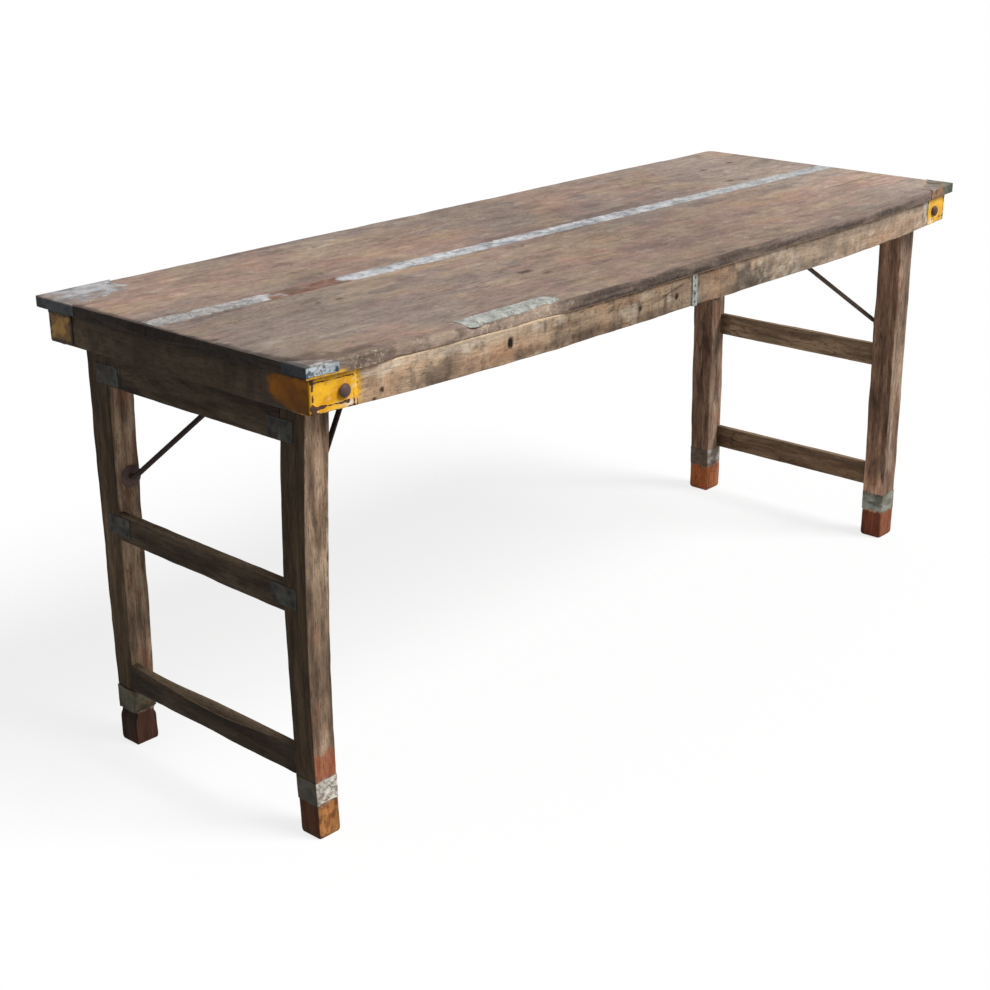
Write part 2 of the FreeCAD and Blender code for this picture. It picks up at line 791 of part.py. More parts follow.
def stay_path(end):
    """The rod's middle line: pin, elbow, arm, corner, crossbar, and back to the other pin."""
    pin = leg_inner + size.stay_pin_depth
    half = [
        (0 * pin, pin),
        (0 * pin, stay_shoulder + elbow_tangent, size.stay_elbow_radius, -end),
        (elbow_tangent * arm_cosine, stay_shoulder - elbow_tangent * arm_sine),
        (arm_run - corner_tangent * arm_cosine, size.stay_crossbar_half + corner_tangent * arm_sine,
         size.stay_corner_radius, end),
        (arm_run, size.stay_crossbar_half - corner_tangent),
    ]
    mirrored = [(corner[0], -corner[1]) for corner in reversed(half)]
    mirrored[0] = mirrored[0] + (size.stay_corner_radius, end)
    mirrored[2] = mirrored[2] + (size.stay_elbow_radius, -end)
    return [(-end * corner[0], corner[1]) + tuple(corner[2:]) for corner in half + mirrored]


for end in (LEFT, RIGHT):
    side = SIDE_NAMES[end]
    stay = doc.addObject("PartDesign::Body", f"stay_body_{side}")
    path = add_sketch(stay, "XY_Plane", stay_path(end), closed=False)
    section = stay.newObject("Sketcher::SketchObject", f"stay_section_{side}")
    attach(section, stay, "XZ_Plane")
    bind(section, "AttachmentOffset.Base.z", -(leg_inner + size.stay_pin_depth))
    section.addGeometry(Part.Circle(FreeCAD.Vector(), FreeCAD.Vector(0, 0, 1), rod_radius.value))
    section.addConstraint(Sketcher.Constraint("Coincident", 0, 3, -1, 1))
    thickness = section.addConstraint(Sketcher.Constraint("Radius", 0, rod_radius.value))
    bind(section, f"Constraints[{thickness}]", rod_radius)
    rod = stay.newObject("PartDesign::AdditivePipe", f"stay_rod_{side}")
    rod.Profile = section
    rod.Spine = (path, [f"Edge{number}" for number in range(1, path.GeometryCount + 1)])
    stay.Tip = rod
    turn_about_y(stay, end * stay_angle)
    put(stay, end * stay_foot, 0, stay_level)
    keep(f"stay_{side}", stay)

    batten_out = bar_reach + size.batten_width / 2
    batten_in = bar_reach - size.batten_width / 2
    low, high = (-batten_out, -batten_in) if end == LEFT else (batten_in, batten_out)
    keep(f"catch_batten_{side}", box(
        f"catch_batten_{side}", (low, -size.batten_length / 2, underside - size.batten_thickness),
        (high, size.batten_length / 2, underside)))

    lip = size.catch_lip_angle
    neck = root(catch_outer * catch_outer - catch_inner * catch_inner)
    hook = [
        (-end * catch_outer, catch_outer),
        (end * size.catch_flange, catch_outer),
        (end * size.catch_flange, catch_inner),
        (end * neck, catch_inner, catch_outer, -end),
        (end * catch_outer * sine(lip), -catch_outer * cosine(lip)),
        (end * catch_inner * sine(lip), -catch_inner * cosine(lip), catch_inner, end),
        (0 * neck, catch_inner),
        (-end * catch_outer, catch_inner),
    ]
    catch = keep(f"stay_catch_{side}", pad(f"catch_{side}", "XZ_Plane", hook, size.catch_width))
    put(catch, end * bar_reach, size.catch_width / 2, bar_z)

doc.recompute()

# Checks before anything is written
faults = [obj.Label for obj in doc.Objects if "Invalid" in obj.State or "Error" in obj.State]
faults += [label for label, obj in nodes.items() if obj.Shape.isNull() or not obj.Shape.isValid()]
if faults:
    raise SystemExit(f"faulty pieces: {sorted(set(faults))}")

os.makedirs("parts", exist_ok=True)
for label, obj in nodes.items():
    obj.Shape.exportStep(f"parts/{label}.step")
print(f"{len(nodes)} pieces; middle lines {middle_x.value:.4f}, {middle_y.value:.4f}; "
      f"stay pivot {stay_foot.value:.4f}, {stay_level.value:.4f}; stay angle {stay_angle.value:.4f}; "
      f"crossbar {bar_reach.value:.3f}")
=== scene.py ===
# %% [markdown]
# # An old wooden folding table
# The table has a boarded top mended with tin, a bowed apron on the near side, yellow iron straps on
# its corners, and two leg frames that fold under it on bolts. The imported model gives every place,
# so this lesson dresses that fixed frame: it swaps the plain solids for worn ones and paints them.

# %% Load the fixed frame
import math
from types import SimpleNamespace
import bpy
import numpy as np
from mathutils import Matrix


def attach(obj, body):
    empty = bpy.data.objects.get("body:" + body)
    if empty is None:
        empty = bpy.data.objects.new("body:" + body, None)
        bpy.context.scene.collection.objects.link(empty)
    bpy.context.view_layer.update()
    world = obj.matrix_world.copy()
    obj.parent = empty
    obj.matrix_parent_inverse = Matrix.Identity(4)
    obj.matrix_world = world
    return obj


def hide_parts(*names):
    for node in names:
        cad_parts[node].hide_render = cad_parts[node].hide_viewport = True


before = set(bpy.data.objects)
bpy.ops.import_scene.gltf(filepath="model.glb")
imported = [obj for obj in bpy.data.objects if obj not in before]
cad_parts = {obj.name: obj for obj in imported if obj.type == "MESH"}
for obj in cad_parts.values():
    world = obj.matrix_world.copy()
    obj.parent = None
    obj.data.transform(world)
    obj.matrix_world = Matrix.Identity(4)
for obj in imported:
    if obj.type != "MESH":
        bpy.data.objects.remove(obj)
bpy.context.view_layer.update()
# All places below are in millimetres from the table's own middle, which lies here in the frame
MIDDLE = np.array((-12.1, 14.8692, 0.0))

# %% [markdown]
# ## Noise
# Old wood is never even. A Noise Texture on a modifier could roughen it, but then colour and shape would
# not agree, so one noise made with numpy drives both: a hollow that is cut into an edge is painted too.


# %% Noise
PRIMES = (73856093, 19349663, 83492791)
LOW_BITS = 0x7FFFFFFF


def scatter(cells, seed):
    """A fixed random number from 0 to 1 per cell: its whole numbers times large primes, mixed."""
    mixed = cells[..., 0] * PRIMES[0] ^ cells[..., 1] * PRIMES[1] ^ cells[..., 2] * PRIMES[2]
    mixed = (mixed ^ seed * 40503) & LOW_BITS
    mixed = ((mixed ^ mixed >> 13) * 1274126177) & LOW_BITS
    return ((mixed ^ mixed >> 15) & 0xFFFF) / 65535.0


def drift(points, size, seed, layers):
    """Smooth noise from -1 to 1: random numbers at cell corners, eased between them; each further
    layer is half as large and half as strong."""
    points = np.asarray(points, float) / size
    total, weight = 0.0, 1.0
    for layer in range(layers):
        cell = np.floor(points).astype(np.int64)
        part = points - cell
        part = part * part * (3 - 2 * part)
        value = 0.0
        for corner in np.ndindex(2, 2, 2):
            share = np.prod(np.where(np.array(corner) == 1, part, 1 - part), axis=-1)
            value = value + scatter(cell + np.array(corner), seed + 17 * layer) * share
        total = total + (2 * value - 1) * weight
        points = points * 2 + 31.7
        weight *= 0.5
    return np.clip(total, -1, 1)


print("noise ready")

# %% [markdown]
# ## Places, steps and colours
# Stains and wear sit at places and fade at their borders. A painted picture could say where, but curves do
# it in one line each. Colours are written as seen, then turned into the linear light that Blender mixes.


# %% Places, steps and colours
def spots(x, y, z):
    """Three arrays of places stacked into one array of points."""
    return np.stack(np.broadcast_arrays(x, y, z), axis=-1)


def drift_at(x, y, z, size, seed, layers):
    """Smooth noise from -1 to 1 at places given one direction at a time."""
    return drift(spots(x, y, z), size, seed, layers)


def bite(x, y, z, size, seed, layers):
    """The same noise from 0 to 1, for what can only be taken away."""
    return 0.5 + 0.5 * drift_at(x, y, z, size, seed, layers)


def ease(low, high, value):
    """0 below low, 1 above high, and an S-shaped rise between them; it falls where low is the larger."""
    part = np.clip((value - low) / (high - low), 0, 1)
    return part * part * (3 - 2 * part)


def stretch(value, start, full, fade, stop):
    """1 from full to fade, with an eased rise from start and an eased fall to stop."""
    return ease(start, full, value) * ease(stop, fade, value)


def hump(value, centre, width):
    """A bell curve: 1 at the centre, about a third at one width away."""
    return np.exp(-((value - centre) / width) ** 2)


def tone(red, green, blue):
    """A colour as it is seen, in steps of 255, turned into linear light."""
    seen = np.array((red, green, blue)) / 255
    return np.where(seen <= 0.04045, seen / 12.92, ((seen + 0.055) / 1.055) ** 2.4)


def over(colour, other, share):
    """One colour laid over another by a share from 0 to 1; a plain triple is a colour as it is seen."""
    colour, other = (tone(*c) if isinstance(c, tuple) else c for c in (colour, other))
    share = np.clip(share, 0, 1)[..., None]
    return colour * (1 - share) + other * share


print("helpers for places and colours ready")

# %% [markdown]
# ## Bars from rings
# Legs, rails, boards and rods are bars: a closed section carried along a line. Extruding by hand would give
# cleaner edges, but here each point has to know where it is, so that wear and paint can follow the piece.


# %% Bars from rings
def grid_quads(rows, columns, wrap=False, wrap_rows=False, first=0):
    """Four-sided faces between neighbouring rows and columns; wrap joins the last to the first."""
    index = np.arange(rows * columns).reshape(rows, columns) + first
    if wrap:
        index = np.concatenate([index, index[:, :1]], axis=1)
    if wrap_rows:
        index = np.concatenate([index, index[:1]], axis=0)
    corners = [index[:-1, :-1], index[1:, :-1], index[1:, 1:], index[:-1, 1:]]
    return np.stack(corners, -1).reshape(-1, 4)


def bar_faces(rings):
    """A closed bar: rings joined into a skin, and a fan to the middle of the first and last ring."""
    rows, columns = rings.shape[:2]
    points = np.concatenate([rings.reshape(-1, 3), rings[:1].mean(1), rings[-1:].mean(1)])
    ring = np.arange(columns)
    after = np.roll(ring, -1)
    last = (rows - 1) * columns
    start = np.stack([np.full(columns, rows * columns), ring, after], -1)
    end = np.stack([np.full(columns, rows * columns + 1), last + after, last + ring], -1)
    return points, grid_quads(rows, columns, wrap=True), np.concatenate([start, end])


def with_ends(values):
    """Values on the rings of a bar, with the mean of the first and last ring added for the fans."""
    flat = values.reshape(values.shape[0] * values.shape[1], -1)
    ends = [values[k:k + 1].mean(1).reshape(1, -1) for k in (0, len(values) - 1)]
    return np.concatenate([flat, *ends])


print("bar helpers ready")

# %% [markdown]
# ## Sheets and joined pieces
# Tin and straps are thin sheets with a visible edge. Solidify could thicken a grid, but a strap's back lies
# flat on the wood while its front is dented, so each side is a grid of its own, with a rim between them.


# %% Sheets and joined pieces
NO_TRIS = np.zeros((0, 3), int)


def sheet_faces(front, back):
    """A closed sheet: a front grid, a back grid, and a rim that joins their borders."""
    rows, columns = front.shape[:2]
    count = rows * columns
    index = np.arange(count).reshape(rows, columns)
    loop = np.concatenate([index[0, :-1], index[:-1, -1], index[-1, :0:-1], index[:0:-1, 0]])
    after = np.roll(loop, -1)
    rim = np.stack([loop, after, after + count, loop + count], -1)
    quads = [grid_quads(rows, columns), grid_quads(rows, columns, first=count)[:, ::-1], rim]
    points = np.concatenate([front.reshape(-1, 3), back.reshape(-1, 3)])
    return points, np.concatenate(quads), NO_TRIS


def both_sides(values, width):
    """Values on a sheet's front grid, given to its back grid as well."""
    return np.concatenate([values.reshape(-1, width)] * 2)


def joined(parts):
    """Several pieces as one: points one after another, faces renumbered to match."""
    points, quads, tris, count = [], [], [], 0
    for part_points, part_quads, part_tris in parts:
        points.append(part_points)
        quads.append(part_quads + count)
        tris.append(part_tris + count)
        count += len(part_points)
    return np.concatenate(points), np.concatenate(quads), np.concatenate(tris)


print("sheet helpers ready")

# %% [markdown]
# ## From arrays to a piece
# A piece takes the place of its plain solid on the same body. Points could be added one by one, but whole
# arrays are far quicker. Colours and masks are attributes, so that they follow the piece in every pose.


# %% From arrays to a piece
def faced_outwards(points, quads, tris):
    """Turn all faces round if the enclosed volume, added up from the middle, comes out negative."""
    corners = np.concatenate([quads[:, [0, 1, 2]], quads[:, [0, 2, 3]], tris])
    centred = points - points.mean(0)
    a, b, c = (centred[corners[:, k]] for k in range(3))
    if np.sum(a * np.cross(b, c)) < 0:
        return quads[:, ::-1], tris[:, ::-1]
    return quads, tris


def new_mesh(name, points, quads, tris, sharp):
    """A mesh in metres, filled as whole arrays; edges that bend by more than the angle stay sharp."""
    mesh = bpy.data.meshes.new(name)
    mesh.vertices.add(len(points))
    mesh.vertices.foreach_set("co", ((points + MIDDLE) / 1000).astype(np.float32).ravel())
    corners = np.concatenate([quads.ravel(), tris.ravel()]).astype(np.int32)
    sizes = np.concatenate([np.full(len(quads), 4), np.full(len(tris), 3)])
    mesh.loops.add(len(corners))
    mesh.loops.foreach_set("vertex_index", corners)
    mesh.polygons.add(len(sizes))
    mesh.polygons.foreach_set("loop_start", (np.cumsum(sizes) - sizes).astype(np.int32))
    mesh.update(calc_edges=True)
    mesh.shade_smooth()
    mesh.set_sharp_from_angle(angle=math.radians(sharp))
    return mesh


def paint(mesh, tint, masks):
    """Colours and masks as attributes, one value for each point of the mesh."""
    if tint is not None:
        layer = mesh.attributes.new("tint", "FLOAT_COLOR", "POINT")
        colours = np.clip(tint.reshape(-1, 3), 0, 1)
        full = np.concatenate([colours, np.ones((len(colours), 1))], axis=1)
        layer.data.foreach_set("color", full.astype(np.float32).ravel())
    for mask_name, values in (masks or {}).items():
        layer = mesh.attributes.new(mask_name, "FLOAT", "POINT")
        layer.data.foreach_set("value", values.astype(np.float32).ravel())


def add_piece(name, faces, finish, body, nodes, tint=None, masks=None, sharp=38):
    """Put a piece into the scene with its colours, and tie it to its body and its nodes."""
    points, quads, tris = faces
    mesh = new_mesh(name, points, *faced_outwards(points, quads, tris), sharp)
    paint(mesh, tint, masks)
    mesh.materials.append(finish)
    obj = bpy.data.objects.new(name, mesh)
    bpy.context.scene.collection.objects.link(obj)
    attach(obj, body)
    if nodes:
        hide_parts(*nodes)
    print(f"{name}: {len(points)} points on {body}")


def add_wood(name, rings, finish, body, tint, masks=None):
    """A worn wooden bar in place of its node, with its colours carried on to the fans at its ends."""
    masks = {key: with_ends(values) for key, values in (masks or {}).items()}
    add_piece(f"{name}_worn", bar_faces(rings), finish, body, (name,), with_ends(tint), masks)


print("piece helpers ready")

# %% [markdown]
# ## Walks and stations
# A sawn bar needs a section and places to carry it to. Even points would be wasted on flat faces, so the
# walk gathers them at corners, and the stations are doubled at both ends, where an inset rounds the bar.


# %% Walks and stations
def gathered(count, share, endpoint=True):
    """Steps from 0 to 1, closer at both ends: even ones mixed with a share of eased ones."""
    even = np.linspace(0, 1, count, endpoint=endpoint)
    return (1 - share) * even + share * (0.5 - 0.5 * np.cos(np.pi * even))


def square_walk(count_a, count_b):
    """Once round a unit square, a side at a time, with the points gathered a little at corners."""
    a, b = (gathered(count, 0.5, endpoint=False) for count in (count_a, count_b))
    walk_a = np.concatenate([a, np.ones(count_b), 1 - a, np.zeros(count_b)])
    walk_b = np.concatenate([np.zeros(count_a), b, np.ones(count_a), 1 - b])
    facing = np.repeat((0, 1, 2, 3), (count_a, count_b, count_a, count_b))
    return walk_a, walk_b, facing


def once_round(count):
    """Even angles once round, from 0 up to the full turn."""
    return np.linspace(0, 2 * np.pi, count, endpoint=False)


# Insets of the first three stations and the last three, as shares of the rim
RIM_SHARES = np.array((1.6, 1.0, 0.35))


def stations(start, end, step, rim):
    """Places along a bar, doubled at each end so that the end is rounded, and each one's inset."""
    inner = np.linspace(start + rim, end - rim, max(int(abs(end - start) / step), 4))
    close = RIM_SHARES[2] * rim
    along = np.concatenate([(start, start, start + close), inner, (end - close, end, end)])
    inset = np.concatenate([RIM_SHARES * rim, np.zeros(len(inner)), RIM_SHARES[::-1] * rim])
    return along, inset


print("walks and stations ready")

# %% [markdown]
# ## Worn sections
# The edges of the sawn bars have been knocked round. A Bevel would round them all alike, so the corners of
# each rectangle are drawn onto quarter circles whose size wanders, and the faces are sunk by noise.


# %% Worn sections
def corner_drawn(near, down, size_near, size_down):
    """Draw a corner onto a quarter of an ellipse, given distances in from its two faces."""
    lean_a, lean_b = 1 - near / size_near, 1 - down / size_down
    inside = (lean_a > 0) & (lean_b > 0)
    draw = np.where(inside, np.maximum(np.hypot(lean_a, lean_b), 1), 1)
    return (np.where(inside, size_near * (1 - lean_a / draw), near),
            np.where(inside, size_down * (1 - lean_b / draw), down))


def worn_sections(along, low_a, high_a, low_b, high_b, walk, rounding, sink, seed, inset):
    """Rectangles with corners drawn onto quarter circles: noise varies the rounding and sinks the
    faces. Gives both places of each point, and how far it lay from the nearest corner."""
    walk_a, walk_b, facing = walk
    column = (slice(None), None)
    limits = (low_a, high_a, low_b, high_b)
    low_a, high_a, low_b, high_b = (np.broadcast_to(v, along.shape)[column] for v in limits)
    a = low_a + (high_a - low_a) * walk_a
    b = low_b + (high_b - low_b) * walk_b
    size = rounding * (1 + 0.9 * drift_at(along[column], a, b, (60, 25, 25), seed, 3))
    size = np.maximum(size, 0.4)
    from_a = np.minimum(a - low_a, high_a - a)
    from_b = np.minimum(b - low_b, high_b - b)
    new_a, new_b = corner_drawn(from_a, from_b, size, size)
    depth = sink * bite(along[column], a, b, (80, 14, 14), seed + 5, 3)
    new_a = new_a + depth * ((facing == 1) | (facing == 3))
    new_b = new_b + depth * ((facing == 0) | (facing == 2))
    new_a = np.minimum(np.maximum(new_a, inset[column]), (high_a - low_a) / 2)
    new_b = np.minimum(np.maximum(new_b, inset[column]), (high_b - low_b) / 2)
    a = np.where(walk_a < 0.5, low_a + new_a, high_a - new_a)
    b = np.where(walk_b < 0.5, low_b + new_b, high_b - new_b)
    return a, b, from_a + from_b


print("worn sections ready")

# %% [markdown]
# ## Shader nodes in short words
# Every finish is a tree of shader nodes. They could be placed by hand, but a few helpers make the trees
# readable as code. Plain numbers are set on the sockets and only changing values are linked.


# %% Shader nodes in short words
def add_node(tree, kind, **values):
    """A node with its settings, and with numbers for its inputs given as input_NAME."""
    node = tree.nodes.new(kind)
    for key, value in values.items():
        if key.startswith("input_"):
            name = key.removeprefix("input_")
            socket = int(name) if name.isdigit() else name.replace("_", " ")
            node.inputs[socket].default_value = value
        else:
            setattr(node, key, value)
    return node


def noise(tree, vector, scale, detail=4.0, roughness=0.55, distortion=0.0):
    """A Noise Texture read at a vector: layered smooth noise from 0 to 1."""
    node = add_node(tree, "ShaderNodeTexNoise", input_Scale=scale, input_Detail=detail,
                    input_Roughness=roughness, input_Distortion=distortion)
    tree.links.new(vector, node.inputs["Vector"])
    return node.outputs["Fac"]


def sums(tree, operation, *values):
    """A Math node on sockets or plain numbers."""
    node = add_node(tree, "ShaderNodeMath", operation=operation)
    for socket, value in zip(node.inputs, values):
        if isinstance(value, (int, float)):
            socket.default_value = value
        else:
            tree.links.new(value, socket)
    return node.outputs[0]


def times(tree, first, second):
    """Two values multiplied."""
    return sums(tree, "MULTIPLY", first, second)


def between(tree, value, low, high, to_low=0.0, to_high=1.0):
    """A value eased from one range to another and held at its ends."""
    node = add_node(tree, "ShaderNodeMapRange", interpolation_type="SMOOTHSTEP",
                    input_1=low, input_2=high, input_3=to_low, input_4=to_high)
    tree.links.new(value, node.inputs[0])
    return node.outputs[0]


print("node helpers ready")

# %% [markdown]
# ## Grain and speckle
# Grain shows on all wood, speckle on all metal. Image textures could do it, but a formula stays sharp at
# any distance. Each is one node group that gives out masks and a height; the materials mix the colours.


# %% Grain and speckle
def new_group(name, outputs):
    """An empty node group with one vector going in and named values coming out."""
    tree = bpy.data.node_groups.new(name, "ShaderNodeTree")
    tree.interface.new_socket("Vector", in_out="INPUT", socket_type="NodeSocketVector")
    for output in outputs:
        tree.interface.new_socket(output, in_out="OUTPUT", socket_type="NodeSocketFloat")
    vector = tree.nodes.new("NodeGroupInput").outputs["Vector"]
    return tree, vector, tree.nodes.new("NodeGroupOutput")


def put_out(tree, out, **values):
    """Link each value to the group's output of the same name."""
    for name, value in values.items():
        tree.links.new(value, out.inputs[name])


def make_grain_group():
    """Grain: broad bands, fine fibres, dark pores and thin checks where a slow noise crosses its
    middle, all drawn out by the stretched vector."""
    tree, vector, out = new_group("old_grain", ("Shade", "Check", "Pore", "Height"))
    bands = noise(tree, vector, 70, 5, 0.6, 0.6)
    off_middle = sums(tree, "SUBTRACT", noise(tree, vector, 36, 4, 0.55, 0.4), 0.5)
    line = between(tree, sums(tree, "ABSOLUTE", off_middle), 0.004, 0.016, 1.0, 0.0)
    check = times(tree, line, between(tree, noise(tree, vector, 14, 2), 0.46, 0.6))
    fibres = noise(tree, vector, 420, 4, 0.6, 0.2)
    pore = between(tree, noise(tree, vector, 520, 3, 0.55), 0.55, 0.68)
    shade = sums(tree, "ADD", times(tree, bands, 0.5), times(tree, fibres, 0.5))
    height = sums(tree, "SUBTRACT", shade, times(tree, pore, 0.25))
    height = sums(tree, "SUBTRACT", height, times(tree, check, 0.5))
    put_out(tree, out, Shade=shade, Check=check, Pore=pore, Height=height)
    return tree


def make_speckle_group():
    """Weathered metal: cloudy patches, dark pin pricks and pale bloom."""
    tree, vector, out = new_group("metal_speckle", ("Cloud", "Prick", "Bloom", "Height"))
    cloud = noise(tree, vector, 45, 5, 0.65, 0.4)
    prick = between(tree, noise(tree, vector, 520, 3, 0.6), 0.58, 0.7)
    bloom = between(tree, noise(tree, vector, 170, 4, 0.6, 0.8), 0.5, 0.68)
    height = sums(tree, "SUBTRACT", times(tree, cloud, 0.6), times(tree, prick, 0.4))
    put_out(tree, out, Cloud=cloud, Prick=prick, Bloom=bloom, Height=height)
    return tree


GRAIN = make_grain_group()
SPECKLE = make_speckle_group()
print("groups:", GRAIN.name, SPECKLE.name)

# %% [markdown]
# ## What every finish does
# Old wood and tin are dull and uneven. Each finish could be built from nothing, but they share one start:
# a Principled shader, a group's masks, the tint from the points, and a bump from the group's height.


# %% What every finish does
def masks_of(tree, group, stretched=(1, 1, 1)):
    """A group's masks, read from the object's own places, drawn out along the grain."""
    places = add_node(tree, "ShaderNodeTexCoord")
    mapping = add_node(tree, "ShaderNodeMapping", input_Scale=stretched)
    tree.links.new(places.outputs["Object"], mapping.inputs["Vector"])
    masks = add_node(tree, "ShaderNodeGroup", node_tree=group)
    tree.links.new(mapping.outputs["Vector"], masks.inputs["Vector"])
    return masks.outputs


def new_finish(name, group, specular, stretched=(1, 1, 1)):
    """A material with one Principled shader and a group's masks."""
    finish = bpy.data.materials.new(name)
    finish.use_nodes = True
    tree = finish.node_tree
    shader = tree.nodes["Principled BSDF"]
    shader.inputs["Specular IOR Level"].default_value = specular
    return finish, tree, shader, masks_of(tree, group, stretched)


def attribute(tree, name, output="Color"):
    """The value that the points carry under a name."""
    return add_node(tree, "ShaderNodeAttribute", attribute_name=name).outputs[output]


def mixed(tree, first, second, share, blend="MIX"):
    """Two colours mixed; colours and the share may be sockets or plain values."""
    node = add_node(tree, "ShaderNodeMix", data_type="RGBA", blend_type=blend)
    for socket, value in ((node.inputs[0], share), (node.inputs[6], first), (node.inputs[7], second)):
        if isinstance(value, (int, float)):
            socket.default_value = value
        elif isinstance(value, np.ndarray):
            socket.default_value = (*value, 1)
        else:
            tree.links.new(value, socket)
    return node.outputs[2]


def shaded_tint(tree, mask, low, high):
    """The tint of the points times a grey that goes from low to high with a mask."""
    return mixed(tree, attribute(tree, "tint"), between(tree, mask, 0.25, 0.75, low, high), 1.0, "MULTIPLY")


def bumped(tree, shader, height, strength, distance):
    """A Bump node: the height tilts the normal by its slope."""
    bump = add_node(tree, "ShaderNodeBump", input_Strength=strength, input_Distance=distance)
    tree.links.new(height, bump.inputs["Height"])
    tree.links.new(bump.outputs["Normal"], shader.inputs["Normal"])


print("finish helpers ready")

# %% [markdown]
# ## Old wood
# The wood is grey-brown and open-pored, and worn edges fray into pale fibres. Each piece could have its own
# tree; one recipe serves all, and squeezing the noise along the grain gives streaks as in a real board.


# %% Old wood
def wood_finish(name, grain_axis, dark, light, pore, check, bump, drawn_out, prick, dirt_fall=1.0):
    """Old wood: the painted tint, darker and lighter by the grain, with dark pores and pricks and dull
    gloss; where the fray mask is set, torn fibres show as pale flecks and dark bites."""
    stretched = [1.0, 1.0, 1.0]
    stretched["xyz".index(grain_axis)] = drawn_out
    finish, tree, shader, grain = new_finish(name, GRAIN, 0.1, stretched)
    dirt = masks_of(tree, SPECKLE, (1, 1, dirt_fall))
    fray = attribute(tree, "fray", "Fac")
    colour = shaded_tint(tree, grain["Shade"], dark, light)
    colour = mixed(tree, colour, tone(52, 42, 38), times(tree, grain["Pore"], pore))
    colour = mixed(tree, colour, tone(40, 32, 28), times(tree, grain["Check"], check))
    colour = mixed(tree, colour, tone(208, 194, 174), times(tree, dirt["Bloom"], fray))
    pricked = times(tree, dirt["Prick"], sums(tree, "MULTIPLY_ADD", fray, 0.6, prick))
    colour = mixed(tree, colour, tone(50, 42, 38), pricked)
    tree.links.new(colour, shader.inputs["Base Color"])
    tree.links.new(between(tree, grain["Shade"], 0.3, 0.7, 0.86, 0.66), shader.inputs["Roughness"])
    bumped(tree, shader, grain["Height"], bump, 0.0008)
    return finish


TOP_WOOD = wood_finish("top_wood", "x", dark=0.7, light=1.3, pore=0.3, check=0.35, bump=0.45,
                       drawn_out=0.22, prick=0.24)
APRON_WOOD_X = wood_finish("apron_wood_long", "x", dark=0.66, light=1.3, pore=0.35, check=0.2, bump=0.7,
                           drawn_out=0.16, prick=0.4, dirt_fall=0.2)
APRON_WOOD_Y = wood_finish("apron_wood_end", "y", dark=0.7, light=1.2, pore=0.4, check=0.3, bump=0.6,
                           drawn_out=0.16, prick=0.3)
LEG_WOOD_Z = wood_finish("leg_wood_upright", "z", dark=0.52, light=1.46, pore=0.6, check=0.6, bump=0.8,
                         drawn_out=0.1, prick=0.5, dirt_fall=0.4)
LEG_WOOD_Y = wood_finish("leg_wood_rail", "y", dark=0.62, light=1.3, pore=0.5, check=0.5, bump=0.8,
                         drawn_out=0.16, prick=0.4)
UNDER_WOOD_Y = wood_finish("under_wood", "y", dark=0.7, light=1.2, pore=0.4, check=0.3, bump=0.6,
                           drawn_out=0.16, prick=0.3)
print("wood:", [wood.name for wood in bpy.data.materials if "wood" in wood.name])

# %% [markdown]
# ## Worn tin
# The mends are sheet tin, pale where it is bright and brown where dirt has taken it. A plain metal shader
# would mirror the white room, so the share of metal is low and follows a mask on the points.


# %% Worn tin
def tin_finish():
    """Sheet tin: painted tint, clouded, pricked dark and bloomed pale; metal where it is still tin."""
    finish, tree, shader, speckle = new_finish("worn_tin", SPECKLE, 0.12)
    metal = attribute(tree, "metal", "Fac")
    colour = shaded_tint(tree, speckle["Cloud"], 0.6, 1.25)
    pale = times(tree, times(tree, speckle["Bloom"], 0.55), metal)
    colour = mixed(tree, colour, tone(214, 216, 218), pale)
    colour = mixed(tree, colour, tone(66, 62, 60), times(tree, speckle["Prick"], 0.6))
    tree.links.new(colour, shader.inputs["Base Color"])
    tree.links.new(times(tree, metal, 0.35), shader.inputs["Metallic"])
    tree.links.new(between(tree, speckle["Cloud"], 0.3, 0.7, 0.62, 0.45), shader.inputs["Roughness"])
    bumped(tree, shader, speckle["Height"], 0.6, 0.0008)
    return finish


def bright_share(tint):
    """How metallic a tin colour is: none for dark dirt, most for pale bare tin."""
    return 0.8 * ease(0.12, 0.5, tint.mean(-1))


TIN = tin_finish()


def add_tin(name, faces, body, tint, metal=None, sharp=50):
    """A tin sheet in place of its node; the share of metal follows its colour unless it is given."""
    metal = bright_share(tint) if metal is None else metal
    add_piece(f"{name}_tin", faces, TIN, body, (name,), tint, {"metal": metal}, sharp)


print("tin:", TIN.name)

# %% [markdown]
# ## Chipped paint and rusty iron
# The straps are iron under yellow paint; bolts, rods and nails are bare. Chips could be cut as geometry,
# but a mask added to cloudy noise and cut at a level breaks up by itself into hard-edged chips.


# %% Chipped paint and rusty iron
def strap_finish():
    """Chipped paint: the painted tint where it holds, rust where the chip mask and noise meet."""
    finish, tree, shader, speckle = new_finish("strap_paint", SPECKLE, 0.1)
    worn = sums(tree, "ADD", attribute(tree, "chip", "Fac"), times(tree, speckle["Cloud"], 0.9))
    chip = between(tree, worn, 0.92, 0.99)
    painted = shaded_tint(tree, speckle["Cloud"], 0.85, 1.08)
    rust = mixed(tree, tone(84, 60, 52), tone(122, 84, 62), speckle["Bloom"])
    colour = mixed(tree, painted, rust, chip)
    colour = mixed(tree, colour, tone(80, 58, 30), times(tree, speckle["Prick"], 0.25))
    tree.links.new(colour, shader.inputs["Base Color"])
    tree.links.new(between(tree, chip, 0, 1, 0.5, 0.85), shader.inputs["Roughness"])
    height = sums(tree, "SUBTRACT", times(tree, speckle["Height"], 0.3), chip)
    bumped(tree, shader, height, 0.5, 0.0006)
    return finish


